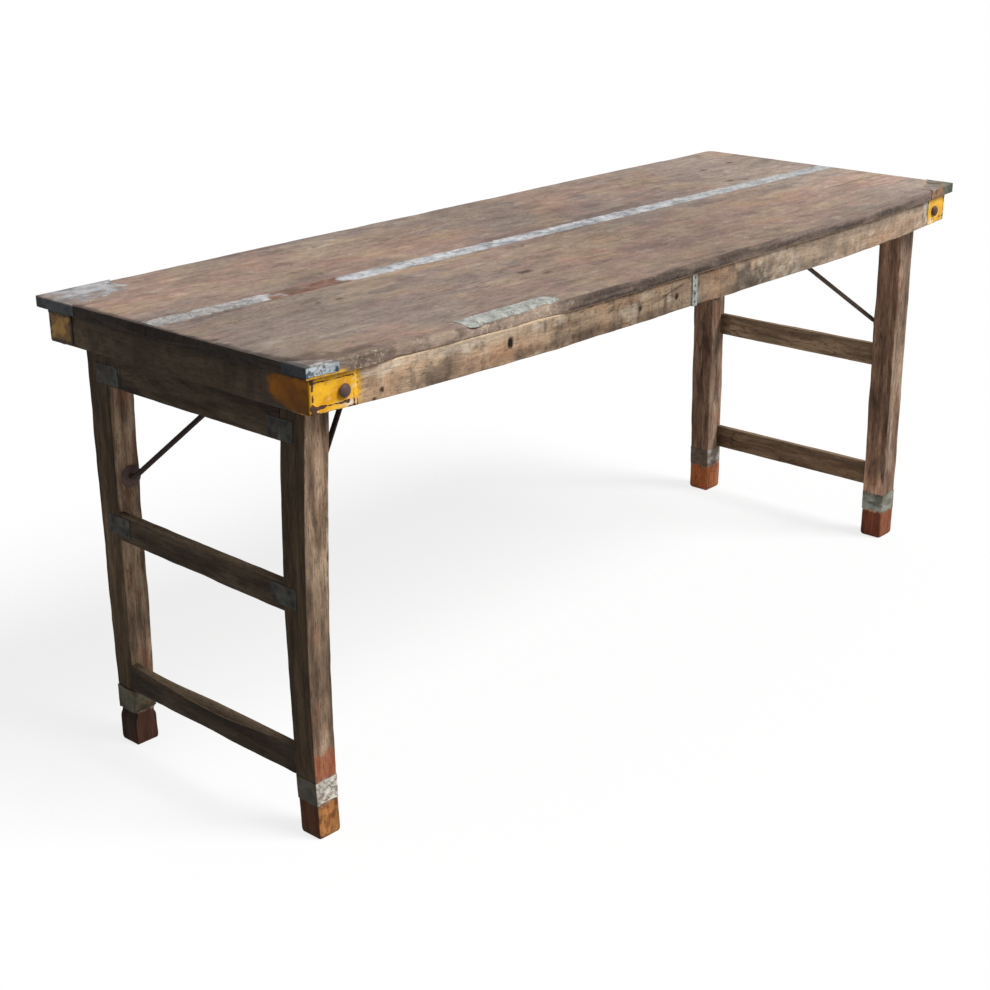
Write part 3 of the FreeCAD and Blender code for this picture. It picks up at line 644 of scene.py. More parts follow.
def iron_finish(name, dark, warm):
    """Rusty iron: two browns clouded together, with dark pricks, a little metal and dull."""
    finish, tree, shader, speckle = new_finish(name, SPECKLE, 0.2)
    colour = mixed(tree, dark, warm, between(tree, speckle["Cloud"], 0.35, 0.7))
    colour = mixed(tree, colour, tone(24, 20, 20), times(tree, speckle["Prick"], 0.5))
    tree.links.new(colour, shader.inputs["Base Color"])
    shader.inputs["Metallic"].default_value = 0.2
    tree.links.new(between(tree, speckle["Cloud"], 0.3, 0.7, 0.5, 0.75), shader.inputs["Roughness"])
    bumped(tree, shader, speckle["Height"], 0.5, 0.0005)
    return finish


STRAP = strap_finish()
BOLT_IRON = iron_finish("bolt_iron", tone(80, 64, 65), tone(110, 87, 82))
ROD_IRON = iron_finish("rod_iron", tone(48, 42, 40), tone(74, 58, 50))
PALE_ROD = iron_finish("rod_iron_rubbed", tone(80, 68, 60), tone(104, 86, 74))
print("materials:", len(bpy.data.materials))

# %% [markdown]
# ## The top's outline
# Two boards meet in a seam that runs askew, the right end is out of square, and the near side bows out. A
# drawn curve could give that line, but caps, apron and stains ask for places on it, so it is a formula.

# %% The top's outline
HALF_LENGTH, HALF_WIDTH, SKEW = 872.0, 308.0, 25.0
TOP_Z, UNDER_Z, APRON_Z = 760.0, 742.0, 687.0
# The bow: half of its straight crest, the length of each bend, and the slopes of its ends in degrees
BOW_FLAT, BOW_TURN = 350.02, 420.04
TOP_SLOPE, APRON_SLOPE = 5.6, 6.8
LEFT, RIGHT, NEAR, FAR = -1, 1, -1, 1
END_NAMES, FACE_NAMES = {LEFT: "left", RIGHT: "right"}, {NEAR: "near", FAR: "far"}
LEG_FRAMES = {LEFT: "leg_frame_left", RIGHT: "leg_frame_right"}
CORNERS = [(end, face) for end in (LEFT, RIGHT) for face in (NEAR, FAR)]


def bowed(x, side, end, angle):
    """Distance of a bowed edge from the middle line: a straight slope at the ends, then an arc that
    turns through the angle, then a straight crest."""
    turn = math.radians(angle)
    radius = BOW_TURN / math.sin(turn)
    bend = BOW_FLAT + BOW_TURN
    crest = side + radius * (1 - math.cos(turn)) + (end - bend) * math.tan(turn)
    far = np.abs(x)
    arc = crest - radius + np.sqrt(np.maximum(radius ** 2 - np.maximum(far - BOW_FLAT, 0) ** 2, 0))
    return np.where(far > bend, side + (end - far) * math.tan(turn), arc)


def top_bow(x):
    """The near side of the top as a distance from the middle line."""
    return bowed(x, HALF_WIDTH, HALF_LENGTH, TOP_SLOPE)


def seam_y(share):
    """The seam falls from 35 to -5 between the left end and the right end."""
    return 35 - 40 * share


def skewed(y):
    """How far the right end runs past square: nothing at the near corner, all of it at the far one."""
    return SKEW * (y + HALF_WIDTH) / (2 * HALF_WIDTH)


print(f"the near side bows out to {top_bow(0.0):.1f}")

# %% [markdown]
# ## Sections of a board
# The near edge is worn to a broad slope in its left half, where people sat and leant. A brush could sculpt
# it by eye; here the wear's width and depth are curves, from which each section takes its corner.


# %% Sections of a board
def edge_wear(x):
    """How wide and how deep the near upper edge is worn: a little all along, more on the left slope."""
    gnaw = drift_at(x, 0, 0, 38, 91, 4)
    slope = stretch(x, -790, -700, -400, -310)
    return 6 + 2 * gnaw + slope * (8 + 5 * gnaw), 6 + 2 * gnaw + slope * (6 + 4 * gnaw)


def near_edge(x):
    """The near edge of the top: its bow, worn back along the left half so that the apron shows."""
    worn_back = 7 + 3 * drift_at(x, 0, 0, 70, 93, 3)
    return worn_back * stretch(x, -770, -700, -430, -340) - top_bow(x)


# Points down the far face of a board, along its underside and up its near face
FAR_STEPS, UNDER_STEPS, NEAR_STEPS = 5, 26, 9


def board_walk(count):
    """Once round a section as shares across and up: along its top, down its far face, back below and
    up its near face."""
    top, under = gathered(count, 0.2), 1 - gathered(UNDER_STEPS, 0.2)
    across = [top, np.ones(FAR_STEPS), under, np.zeros(NEAR_STEPS)]
    fall = np.linspace(1, 0, FAR_STEPS + 2)[1:-1]
    rise = np.linspace(0, 1, NEAR_STEPS + 2)[1:-1]
    return np.concatenate(across), np.concatenate([np.ones(count), fall, np.zeros(UNDER_STEPS), rise])


def board_rings(share, inset, low, high, near_wear, far_wear, count, seed):
    """Closed sections of a board, with worn upper corners, a top that dips a little and rough edges."""
    across, up = board_walk(count)
    column = (slice(None), None)
    low, high, inset = low[column], high[column], inset[column]
    y = low + across * (high - low)
    z = UNDER_Z + up * (TOP_Z - UNDER_Z)
    x = -HALF_LENGTH + share[column] * (2 * HALF_LENGTH + skewed(y))
    rough = 0.9 * bite(x, y, z, (40, 9, 9), seed + 3, 3)
    near, down = corner_drawn(y - low, TOP_Z - z, *(wear[column] for wear in near_wear))
    far, down = corner_drawn(high - low - near, down, *(wear[column] for wear in far_wear))
    y = high - far
    dip = 0.35 + 0.3 * drift_at(x / 5, y, 0, 45, seed, 2)
    z = TOP_Z - down - np.where(up == 1, dip, 0)
    y = y + np.where(across == 0, rough, 0) - np.where(across == 1, rough, 0)
    y = np.clip(y, low + inset, high - inset)
    z = np.clip(z, UNDER_Z + inset, TOP_Z - inset)
    return x, y, z, across + 0 * x, up + 0 * x


print("board sections ready")

# %% [markdown]
# ## Colours of the top
# The top is tan and pink with grey and purple clouds, knots, smears and stains. Noise alone never puts a
# stain where it belongs, so the clouds are noise and the marks are short lists of places.

# %% Colours of the top
TAN, PINK, GREY = tone(172, 150, 130), tone(164, 138, 126), tone(148, 138, 130)
PURPLE, DARK, ORANGE = tone(122, 106, 104), tone(58, 50, 47), tone(180, 142, 112)
# Marks on the top: place along, place across, half length, half width, strength
KNOTS = [
    (680, 169, 9, 5, 0.8), (792, 179, 10, 5, 0.7), (615, 54, 12, 6, 0.7), (648, 41, 12, 6, 0.6),
    (-268, -160, 16, 8, 0.85), (-246, -191, 12, 5, 0.6), (-620, -59, 7, 4, 0.8), (-583, -63, 8, 4, 0.85),
    (-581, 39, 7, 4, 0.8), (-860, -105, 7, 4, 0.8),
]
SMEARS = [
    (17, 160, 45, 14, 0.4), (198, 119, 90, 22, 0.35), (203, 45, 120, 18, 0.45), (60, 30, 120, 16, 0.3),
    (11, -195, 60, 18, 0.35), (60, -230, 50, 14, 0.35), (-557, -193, 40, 12, 0.35),
    (-582, -117, 40, 12, 0.3), (-438, -152, 30, 5, 0.35), (-71, 45, 100, 16, 0.3),
]
CORNER_STAINS = [(-840, -270, 34, 20, 0.6), (-790, -292, 60, 16, 0.55)]
FAINT_SMEARS = [
    (-700, -306, 70, 12, 0.45), (-421, 300, 80, 10, 0.35), (333, -165, 140, 30, 0.22),
    (142, -212, 90, 24, 0.3), (665, -174, 90, 30, 0.15), (-525, 296, 60, 12, 0.3), (420, 60, 160, 26, 0.2),
    (-250, 150, 90, 20, 0.2), (520, -60, 140, 24, 0.18), (-760, 90, 60, 22, 0.2),
]


def stained(colour, a, b, marks, stain, wander, start, full):
    """Lay the marks of a list over a colour: each is an ellipse about its place with a wandering
    border, from nothing at the reach start to its own strength at the reach full."""
    for place_a, place_b, long, wide, strength in marks:
        reach = np.hypot((a - place_a) / long, (b - place_b) / wide) + wander
        colour = over(colour, stain, strength * ease(start, full, reach))
    return colour


def board_grain(x, y, z):
    """The noises that the top's colours share, each drawn out along the table by its own amount."""
    return SimpleNamespace(
        streak=drift_at(x / 1.8, y, 0, 46, 3, 5),
        broad=drift_at(x / 1.4, y, 3, 190, 37, 2),
        mottle=drift_at(x / 1.3, y, 5, 20, 39, 3),
        cloud=drift_at(x / 1.6, y, 0, 150, 8, 4),
        smear=drift_at(x / 2.0, y, 9, 36, 21, 4),
        fibre=drift_at(x / 8, y, z, 6, 5, 3),
        speck=drift_at(x / 1.6, y, 0, 8, 27, 2),
        amber=drift_at(x / 1.8, y, 4, 60, 31, 4),
        fleck=drift_at(x / 3, y, 7, 13, 33, 2),
    )


def bare_top(x, y, grain):
    """Tan and pink streaks under amber, grey and purple clouds, cream flecks and dark specks, all
    times a level: lower in the middle, higher at the right end, uneven in broad patches."""
    colour = over(TAN, PINK, ease(-0.5, 0.5, grain.streak))
    colour = over(colour, ORANGE, 0.28 * ease(0.2, 0.8, grain.amber))
    greyed = grain.cloud + 0.4 * grain.smear + 0.2 * ease(-100, 500, x)
    colour = over(colour, GREY, 0.6 * ease(-0.3, 0.6, greyed))
    colour = over(colour, PURPLE, 0.36 * ease(0.2, 0.85, grain.smear - 0.3 * grain.streak))
    colour = over(colour, (196, 180, 162), 0.4 * ease(0.45, 0.85, grain.fleck))
    colour = over(colour, DARK, 0.3 * ease(0.72, 0.9, grain.speck) * ease(-0.1, 0.4, grain.cloud))
    level = 0.88 - 0.1 * hump(x, 60, 240) + 0.2 * ease(450, 800, x) - 0.05 * ease(-760, -860, x)
    level = level * (1 + 0.04 * ease(100, 500, x) + 0.17 * ease(60, 160, y) * hump(x, 260, 120)
                     - 0.14 * ease(-30, -110, y) * hump(x, 230, 130)) * (1 + 0.14 * grain.broad)
    fine = 1 + 0.08 * grain.fibre + 0.1 * grain.speck + 0.09 * grain.mottle
    return colour * (level * fine)[..., None]


def marked_top(colour, x, y, grain):
    """Knots, smears, two red stains, a pale scrape, a crack, a dirty corner, and a dark fade at the left
    end: grime and painted shade where the edge rounds away from the light.
    """
    wander = 0.35 * drift_at(x, y, 0, 14, 44, 2)
    for marks, stain in ((KNOTS, DARK), (SMEARS, PURPLE * 0.7), (CORNER_STAINS, DARK),
                         (FAINT_SMEARS, PURPLE * 0.7)):
        colour = stained(colour, x, y, marks, stain, wander, 1.5, 0.3)
    by_seam = hump(y, seam_y((x + HALF_LENGTH) / 1750), 30)
    reds = hump(y, -128, 36) * hump(x, -86, 110) + 0.8 * by_seam * hump(x, -590, 130)
    colour = over(colour, (176, 112, 84), 0.4 * reds * ease(-0.4, 0.5, grain.streak))
    scrape = hump(x, -800, 42) * hump(y, -178, 12) * ease(-0.1, 0.5, drift_at(x / 3, y, 0, 9, 51, 2))
    colour = over(colour, (205, 192, 178), 0.45 * scrape)
    crack = hump(y, -143 + 6 * drift_at(x, 0, 0, 60, 61, 2), 1.8) * ease(640, 700, x)
    colour = over(colour, DARK, 0.8 * crack)
    corner = hump(x, -850, 60) * hump(y, -280, 34)
    colour = over(colour, (104, 84, 78), 0.55 * corner * ease(-0.4, 0.4, grain.mottle))
    # dark fade at the left end: grime and painted shade where the edge rounds over
    end_grime_and_shade = 12 + 20 * hump(y, -268, 42) + 6 * grain.smear
    return over(colour, DARK, 0.8 * ease(end_grime_and_shade, 0.3 * end_grime_and_shade, x + HALF_LENGTH + 3 * grain.mottle))


print("marks on the top:", len(KNOTS + SMEARS + CORNER_STAINS + FAINT_SMEARS))

# %% [markdown]
# ## The near edge and the whole board
# The near edge is torn and pale on the left and a dark slab on the right. It could be a second material; as
# colours on the points it fades into the top, and a mask lets the finish add torn fibres.


# %% The near edge and the whole board
def near_edge_colours(x, y, z, grain, right_side):
    """Pale torn wood with flecks and dark bites, going over to a slab that is dark below and lighter on its
    shoulder, worn pale and with a painted highlight where it rounds over, and towards the right end."""
    flecks = drift_at(x, y / 1.6, z / 1.6, 9, 71, 2)
    worn = over((158, 138, 122), (124, 106, 94), ease(-0.4, 0.4, drift_at(x / 1.5, y, z, 22, 73, 4)))
    worn = over(worn, (192, 174, 152), 0.55 * ease(0.25, 0.8, flecks) * ease(-0.4, 0.3, grain.cloud))
    worn = over(worn, DARK, 0.45 * ease(0.25, 0.8, drift_at(x / 2, y, z, 14, 74, 4)))
    slab = over((106, 92, 83), (70, 60, 55), ease(-0.4, 0.5, drift_at(x / 5, y, z, 9, 77, 4)))
    # the slab's shoulder: worn pale, with a painted highlight on the rounded upper edge
    worn_and_lit_shoulder = np.maximum(ease(750, 757, z + 3 * grain.speck), 0.6 * ease(600, 740, x))
    slab = over(slab, (134, 117, 109), 0.75 * worn_and_lit_shoulder * ease(100, 260, x))
    return over(worn, slab, right_side)


def board_tint(x, y, z, across, up):
    """The top's colours, with the near edge, the faces and the underside laid over them, and the mask
    of torn fibres: strong in clumps on the left of the near edge, faint on its right."""
    grain = board_grain(x, y, z)
    colour = marked_top(bare_top(x, y, grain), x, y, grain)
    from_edge = y - near_edge(x)
    right_side = ease(-420, -300, x + 45 * grain.smear)
    line = hump(from_edge, 9, 4) * right_side * ease(-0.1, 0.3, grain.speck)
    colour = over(colour, (160, 132, 120), 0.5 * line)
    rim_left = ease(22, 8, from_edge + 8 * grain.smear) * ease(-840, -780, x)
    rim_right = ease(9, 4, from_edge + 4 * grain.streak)
    near_rim = np.where(y < 0, rim_left * (1 - right_side) + rim_right * right_side, 0)
    colour = over(colour, near_edge_colours(x, y, z, grain, right_side), 0.9 * near_rim)
    near_face = (across == 0) & (y < 0)
    colour = over(colour, DARK, 0.35 * near_face * ease(-690, -780, x))
    shade = ease(749, 744.5, z + 3 * grain.speck) * stretch(x, -400, -340, -60, 120)
    colour = over(colour, DARK, 0.9 * near_face * shade)
    colour = over(colour, (236, 178, 44), 0.9 * near_face * ease(748, 746, z) * ease(-800, -812, x))
    far_face = (across == 1) & (up < 1) & (y > 200)
    colour = over(colour, (112, 96, 86), 0.8 * far_face)
    underside = over((138, 113, 90), (106, 88, 71), ease(-0.5, 0.5, grain.streak))
    colour = over(colour, underside, np.where(up == 0, 1.0, 0.0))
    clump = ease(-0.2, 0.5, drift_at(x / 1.6, y, 0, 26, 79, 3))
    return colour, near_rim * ((0.1 + 0.6 * clump) * (1 - right_side) + 0.1 * right_side)


print("board colours ready")

# %% [markdown]
# ## Two boards
# Each board is one plank from end to end. A cube with loop cuts would need sculpting for bow and wear, so
# worn sections are placed along it, and the far right corner is drawn onto a quarter circle in plan.

# %% Two boards
BOARD_STEPS, END_RIM, CORNER_ROUND = 540, 1.3, 20.0
rim = END_RIM / (2 * HALF_LENGTH)
SHARE = np.concatenate([(0, 0, 0.3 * rim), np.linspace(rim, 1 - rim, BOARD_STEPS), (1 - 0.3 * rim, 1, 1)])
END_INSET = np.concatenate([(1.5, 1.0, 0.4), np.zeros(BOARD_STEPS), (0.4, 1.0, 1.5)])


def make_board(name, low, high, near_wear, far_wear, count, seed):
    """A board between two edges: worn sections, one rounded corner in plan, and dark end grain."""
    x, y, z, across, up = board_rings(SHARE, END_INSET, low, high, near_wear, far_wear, count, seed)
    gap_x = HALF_LENGTH + skewed(y) - x
    drawn_x, drawn_y = corner_drawn(gap_x, HALF_WIDTH - y, CORNER_ROUND, CORNER_ROUND)
    x, y = x + gap_x - drawn_x, HALF_WIDTH - drawn_y
    tint, fray = board_tint(x, y, z, across, up)
    inset = END_INSET[:, None]
    end_face = ((inset > 0.9) | ((inset > 0.3) & (up < 1))) * np.ones_like(x)
    mottled = ease(-0.4, 0.4, drift_at(x, y, z, (9, 30, 6), 81, 2))
    tint = over(tint, over((60, 52, 46), (36, 31, 28), mottled), end_face)
    add_wood(name, spots(x, y, z), TOP_WOOD, "table_top", tint, {"fray": fray})


SEAM_GAP = 0.15
line_x = -HALF_LENGTH + SHARE * 2 * HALF_LENGTH
sharp_wear = (np.ones(len(SHARE)), np.ones(len(SHARE)))
far_wear = (4 + 2 * drift_at(line_x, 0, 0, 55, 91, 3),) * 2
make_board("top_board_near", near_edge(line_x), seam_y(SHARE) - SEAM_GAP, edge_wear(line_x), sharp_wear,
           112, 1)
make_board("top_board_far", seam_y(SHARE) + SEAM_GAP, 0 * SHARE + HALF_WIDTH, sharp_wear, far_wear, 92, 2)

# %% [markdown]
# ## Colours of the aprons
# The aprons are tan and streaked, and the near one is the most stained part of the table. It could be
# painted by hand, but as on the top, noise makes the wood and lists place holes, knot and dark marks.

# %% Colours of the aprons
APRON_END, APRON_SIDE, APRON_THICK, STRAP_X = 859.0, 298.0, 38.0, -38.0
# Holes and stains on the near apron: place along, height, half length, half height, strength
APRON_HOLES = [
    (-737, 701, 4, 4, 0.9), (-751, 690, 4, 3, 0.9), (-88, 712, 5, 5, 0.95), (-184, 711, 5, 5, 0.95),
    (-492, 719, 6, 8, 1.0), (-561, 728, 5, 4, 0.4),
]
APRON_MARKS = [
    (-633, 704, 26, 16, 0.55), (-604, 712, 18, 18, 0.3), (-750, 712, 16, 20, 0.3),
    (-710, 706, 10, 18, 0.2), (-428, 700, 30, 12, 0.35), (-383, 706, 24, 14, 0.3),
    (-311, 700, 44, 12, 0.35), (-492, 700, 60, 11, 0.4), (-250, 698, 40, 10, 0.25), (-23, 694, 14, 12, 0.4),
    (107, 712, 26, 26, 0.75), (146, 704, 22, 22, 0.7), (78, 694, 12, 12, 0.35), (278, 700, 22, 12, 0.4),
    (378, 712, 30, 22, 0.5), (328, 698, 22, 10, 0.4), (430, 708, 16, 22, 0.45), (525, 694, 44, 8, 0.35),
    (673, 700, 34, 10, 0.3), (190, 720, 14, 12, 0.4), (610, 728, 60, 7, 0.4), (240, 694, 18, 8, 0.4),
]


def apron_tint(x, z, seed):
    """Tan wood with long streaks, warm clouds, runs down the face, pale patches and dark spots."""
    colour = over((170, 146, 121), (144, 121, 101), ease(-0.4, 0.5, drift_at(x / 6, 0, z, 12, seed, 4)))
    cloud = drift_at(x / 1.6, 0, z, 46, seed + 2, 4)
    colour = over(colour, (184, 150, 120), 0.7 * ease(0.0, 0.6, cloud))
    runs = drift_at(x, 0, z / 7, 9, seed + 1, 4)
    colour = over(colour, (92, 82, 73), 0.45 * ease(0.15, 0.8, runs))
    pale = drift_at(x / 1.5, 0, z, 17, seed + 4, 4)
    colour = over(colour, (204, 190, 170), 0.5 * ease(0.3, 0.8, pale))
    return over(colour, (70, 62, 56), 0.5 * ease(0.45, 0.85, drift_at(x, 0, z, 9, seed + 5, 3)))


def near_apron_wood(x, z, wander):
    """The near apron's wood: dark marks, a level that falls left of the middle and rises to the right,
    warm and pale patches, a grey upper right end, and a painted highlight along its top edge where the
    top is worn back."""
    tint = stained(apron_tint(x, z, 14), x, z, APRON_MARKS, (50, 44, 40), wander, 1.4, 0.4)
    tint = over(tint, (172, 158, 142), 0.3 * ease(-100, 300, x))
    lower = ease(712, 692, z + 6 * wander)
    level = 1.22 - 0.42 * ease(-480, -330, x) + 0.42 * ease(-20, 650, x)
    tint = tint * (level * (1.06 - 0.22 * lower * ease(500, 150, x)))[..., None]
    warm = hump(x, 600, 120) * hump(z, 702, 16) + 1.3 * hump(x, -505, 60) * hump(z, 712, 13)
    tint = over(tint, (186, 140, 106), 0.45 * (warm + 0.6 * hump(x, 20, 26)))
    pale = hump(x, 205, 70) * ease(-0.1, 0.4, drift_at(x, 0, z, 13, 15, 3))
    tint = over(tint, (206, 192, 172), 0.55 * (pale + hump(x, -620, 150) * hump(z, 734, 8)))
    tint = over(tint, (122, 110, 98), 0.5 * ease(640, 730, x) * ease(712, 728, z + 8 * wander))
    # painted highlight: the apron's top edge catching light where the board is worn back
    ledge_highlight = ease(737, 740.5, z) * stretch(x, -760, -700, -420, -330)
    return over(tint, (222, 196, 164), 0.8 * ledge_highlight)


def near_apron_marks(tint, x, z, wander):
    """Nail holes, the dark line beside the tin strap, a pale smear, a slanting crack, and yellow paint
    that has run over from the strap."""
    tint = stained(tint, x, z, APRON_HOLES, (30, 26, 24), 0.5 * wander, 1.25, 0.75)
    tint = over(tint, (52, 45, 40), 0.85 * hump(x, STRAP_X - 8.6, 1.8))
    smear = hump(x, 767, 12) * ease(0, 0.4, drift_at(x, 0, z, 8, 18, 2))
    tint = over(tint, (208, 204, 200), 0.8 * smear)
    crack = hump(z, 724.5 + 0.22 * (x + 96), 1.6) * (hump(x, -96, 28) > 0.35)
    tint = over(tint, (44, 38, 34), 0.9 * crack)
    spill = ease(-768, -776, x + 4 * wander) * ease(-0.2, 0.3, wander + 0.2)
    return over(tint, (240, 182, 44), 0.9 * spill * (x < -764))


print("marks on the near apron:", len(APRON_HOLES + APRON_MARKS))

# %% [markdown]
# ## Four aprons
# The aprons make the box under the top, and the near one has a bow of its own. A straight bar with a Curve
# modifier would come close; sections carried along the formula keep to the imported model's very line.


# %% Four aprons
def apron_bow(x):
    """The near apron's outer face as a distance from the middle line."""
    return bowed(x, APRON_SIDE, APRON_END, APRON_SLOPE)


def near_apron():
    """The bowed apron: sections between its outer curve and the same curve moved in by its thickness."""
    along, inset = stations(-APRON_END, APRON_END, 2.6, 1.2)
    outer = -apron_bow(along)
    y, z, _ = worn_sections(along, outer, outer + APRON_THICK, APRON_Z, UNDER_Z, square_walk(10, 24),
                            2.6, 0.9, 12, inset)
    x = along[:, None] + 0 * y
    wander = 0.4 * drift_at(x, y, z, 10, 13, 2)
    tint = near_apron_marks(near_apron_wood(x, z, wander), x, z, wander)
    back = y > outer[:, None] + 20
    tint = over(tint, (120, 100, 82), 0.8 * back)
    add_wood("long_apron_near", spots(x, y, z), APRON_WOOD_X, "table_top", tint)


def far_apron():
    """The straight apron at the back."""
    along, inset = stations(-APRON_END, APRON_END, 5, 1.2)
    y, z, _ = worn_sections(along, APRON_SIDE - APRON_THICK, APRON_SIDE, APRON_Z, UNDER_Z,
                            square_walk(10, 20), 2.6, 0.9, 31, inset)
    x = along[:, None] + 0 * y
    tint = apron_tint(x, z, 33)
    add_wood("long_apron_far", spots(x, y, z), APRON_WOOD_X, "table_top", tint)


def end_apron(end):
    """An end apron runs across between the long ones, under dark brown with paler runs: nearly whole on the
    left end, partly its own colour and partly painted shade on a face turned from the light, a third over
    on the right, with a painted shadow from the board along its top.
    """
    low, high = sorted((end * APRON_END, end * (APRON_END - 24)))
    along, inset = stations(-260, 260, 4, 0.8)
    x, z, _ = worn_sections(along, low, high, APRON_Z, UNDER_Z, square_walk(8, 20), 2.2, 0.8, 40 + end,
                            inset)
    y = along[:, None] + 0 * x
    dark = over((73, 62, 50), (58, 49, 40), ease(-0.5, 0.5, drift_at(y, 0, z / 3, 16, 46, 4)))
    paler = ease(60, 240, y) * ease(-0.3, 0.5, drift_at(y, 0, z, 14, 48, 3))
    dark = over(dark, (104, 90, 74), 0.5 * paler)
    # painted shadow under the board's overhang, along the apron's top
    dark = over(dark, (36, 31, 27), 0.85 * ease(726, 741, z))
    # the left end looks away from the light, so its dark brown is partly painted shade
    coat_and_shade = np.full(x.shape, 0.95 if end == LEFT else 0.35)
    tint = over(apron_tint(y + 300 * end, z, 43 + end), dark, coat_and_shade)
    name = f"end_apron_{END_NAMES[end]}"
    add_wood(name, spots(x, y, z), APRON_WOOD_Y, "table_top", tint)


near_apron()
far_apron()
end_apron(LEFT)
end_apron(RIGHT)
CREST = float(apron_bow(0.0))

# %% [markdown]
# ## Rails and battens under the top
# The centre rail and two battens are sawn wood, seen from below. Plain boxes would do from afar, but the
# folded table shows them, so they are worn bars too, with less wear, because nobody touches them.


# %% Rails and battens under the top
def under_bar(name, low_x, high_x, low_y, high_y, low_z, seed):
    """A sawn bar across the table: little rounding, and two browns mixed by streaks."""
    along, inset = stations(low_y, high_y, 6, 0.8)
    x, z, _ = worn_sections(along, low_x, high_x, low_z, UNDER_Z, square_walk(8, 8), 1.4, 0.5, seed, inset)
    y = along[:, None] + 0 * x
    tint = over((150, 124, 98), (112, 92, 74), ease(-0.4, 0.5, drift_at(x, y / 8, z, 10, seed + 1, 3)))
    add_wood(name, spots(x, y, z), UNDER_WOOD_Y, "table_top", tint)


CROSSBAR_X = 505.595
under_bar("centre_rail", -14, 14, APRON_THICK - CREST, APRON_SIDE - APRON_THICK, 696, 51)
for end, seed in ((LEFT, 53), (RIGHT, 55)):
    middle_x = end * CROSSBAR_X
    under_bar(f"catch_batten_{END_NAMES[end]}", middle_x - 40, middle_x + 40, -120, 120, 730, seed)

# %% [markdown]
# ## Shape of a leg
# Each leg tapers to its foot and ends in a half round at the pivot; the near left one has bowed. A turned
# and scaled box would do for a leg alone, but plates, bands and rails ask for its faces at any height.

# %% Shape of a leg
PIVOT_X, PIVOT_Z, LEAN = 804.0, 714.0, math.radians(0.4)
LEG_HALF, LEG_OUTER, LEG_INNER, LEG_BOW = 24.5, 255.0, 203.0, 12.0
# Depth and width of the foot, and how far its lower edges are rounded
FOOT = {LEFT: (43.0, 43.0), RIGHT: (49.0, 48.0)}
FOOT_ROUND = {LEFT: 2.5, RIGHT: 5.5}


def bow_out(end, face, up):
    """How far a leg stands out of line at a height above the pivot: a parabola, near left leg only."""
    share = np.clip(-up / PIVOT_Z, 0, 1)
    return (4 * LEG_BOW * share * (1 - share)) * float(end == LEFT and face == NEAR)


def leant(end, out, y, up):
    """A point of a leg frame, out from and above its pivot, turned by the lean about the pivot."""
    x = end * (PIVOT_X + out * math.cos(LEAN) - up * math.sin(LEAN))
    z = PIVOT_Z + out * math.sin(LEAN) + up * math.cos(LEAN)
    return spots(x, y, np.maximum(z, 0.0))


def leg_faces(end, face, up):
    """Inner, outer, low and high faces of a leg at heights above the pivot."""
    depth, width = FOOT[end]
    share = np.clip(-up / PIVOT_Z, 0, 1)
    half_round = np.sqrt(np.maximum(LEG_HALF ** 2 - np.maximum(up, 0) ** 2, 0.01))
    bow = bow_out(end, face, up)
    inner = np.where(up > 0, -half_round, -LEG_HALF + (2 * LEG_HALF - depth) * share) + bow
    outer = np.where(up > 0, half_round, LEG_HALF) + bow
    across = LEG_OUTER - (LEG_OUTER - LEG_INNER - width) * share
    low, high = (-across, -LEG_INNER + 0 * across) if face == NEAR else (LEG_INNER + 0 * across, across)
    return inner, outer, low, high


print(f"legs lean by {math.degrees(LEAN):.1f} degrees")

# %% [markdown]
# ## Colours of a leg
# The left legs are painted dark on the faces away from the light, the right ones warm and light there, and
# each foot was dipped in paint. Each leg has its own tones for lit and shaded faces: painted light and
# shade.


# %% Colours of a leg
def leg_wood(end, face, streak, z, minus_x):
    """Two tones mixed by the streaks, one pair for lit faces and one for those that look left: painted shade
    on the left legs and painted light on the right ones. Stretches of the height are darker or rubbed
    lighter."""
    mix = ease(-0.4, 0.5, streak)
    if end == LEFT:
        lit = over((170, 143, 119), (128, 105, 85), mix)
        lit = lit * (1 - (0.3 * ease(480, 400, z) + 0.12 * hump(z, 300, 80)) * (face == NEAR))[..., None]
        shaded = over((82, 67, 50), (60, 49, 36), mix)
        shaded = shaded * (1 + 0.95 * hump(z, 330, 110) * (face == FAR))[..., None]
    else:
        lit = over((164, 138, 117), (130, 106, 89), mix)
        shaded = over((190, 150, 122), (148, 114, 92), mix) * (1 - 0.25 * (face == FAR))
        if face == NEAR:
            rubbed = 1 - 0.35 * hump(z, 310, 70) + 0.3 * ease(240, 190, z) + 0.7 * ease(150, 112, z)
            shaded = shaded * rubbed[..., None]
    # painted light and shade: the shaded tones go on faces that look left
    return over(lit, shaded, minus_x)


def with_foot(colour, end, face, out, y, z, minus_x, minus_y, runs, seed):
    """Old paint on the foot below the band, with a ragged upper border, with its own tones on faces that
    look left (painted shade on the left feet, painted light on the far right one), streaked by runs; on
    the near legs a blush of it has soaked up above the band."""
    ragged = z + 5 * drift_at(out, y, z, 9, seed + 3, 2)
    if end == LEFT and face == NEAR:
        mould = drift_at(out, y, z, 11, seed + 8, 4)
        lit, shaded = over((170, 116, 68), (122, 76, 44), ease(-0.3, 0.5, mould)), (82, 52, 34)
        soaked = ease(160, 146, ragged + 22 * drift_at(out, y, z, 24, seed + 9, 2)) * ease(96, 106, z)
        colour = over(colour, (150, 84, 54), 0.75 * soaked * minus_y)
    elif end == LEFT:
        lit, shaded = (82, 54, 43), (52, 38, 30)
    elif face == FAR:
        lit, shaded = (172, 104, 66), (206, 120, 74)
    else:
        lit, shaded = (138, 84, 60), (140, 80, 58)
        colour = over(colour, (132, 104, 84), 0.5 * minus_y * ease(150, 120, ragged) * ease(100, 104, z))
    # painted light and shade: the foot paint's lit and shaded tones by the faces that look left
    coat_and_shade = over(lit, shaded, minus_x)
    coat_and_shade = over(coat_and_shade, (70, 40, 30), 0.5 * ease(0.2, 0.7, runs))
    return over(colour, coat_and_shade, ease(61, 57, ragged))


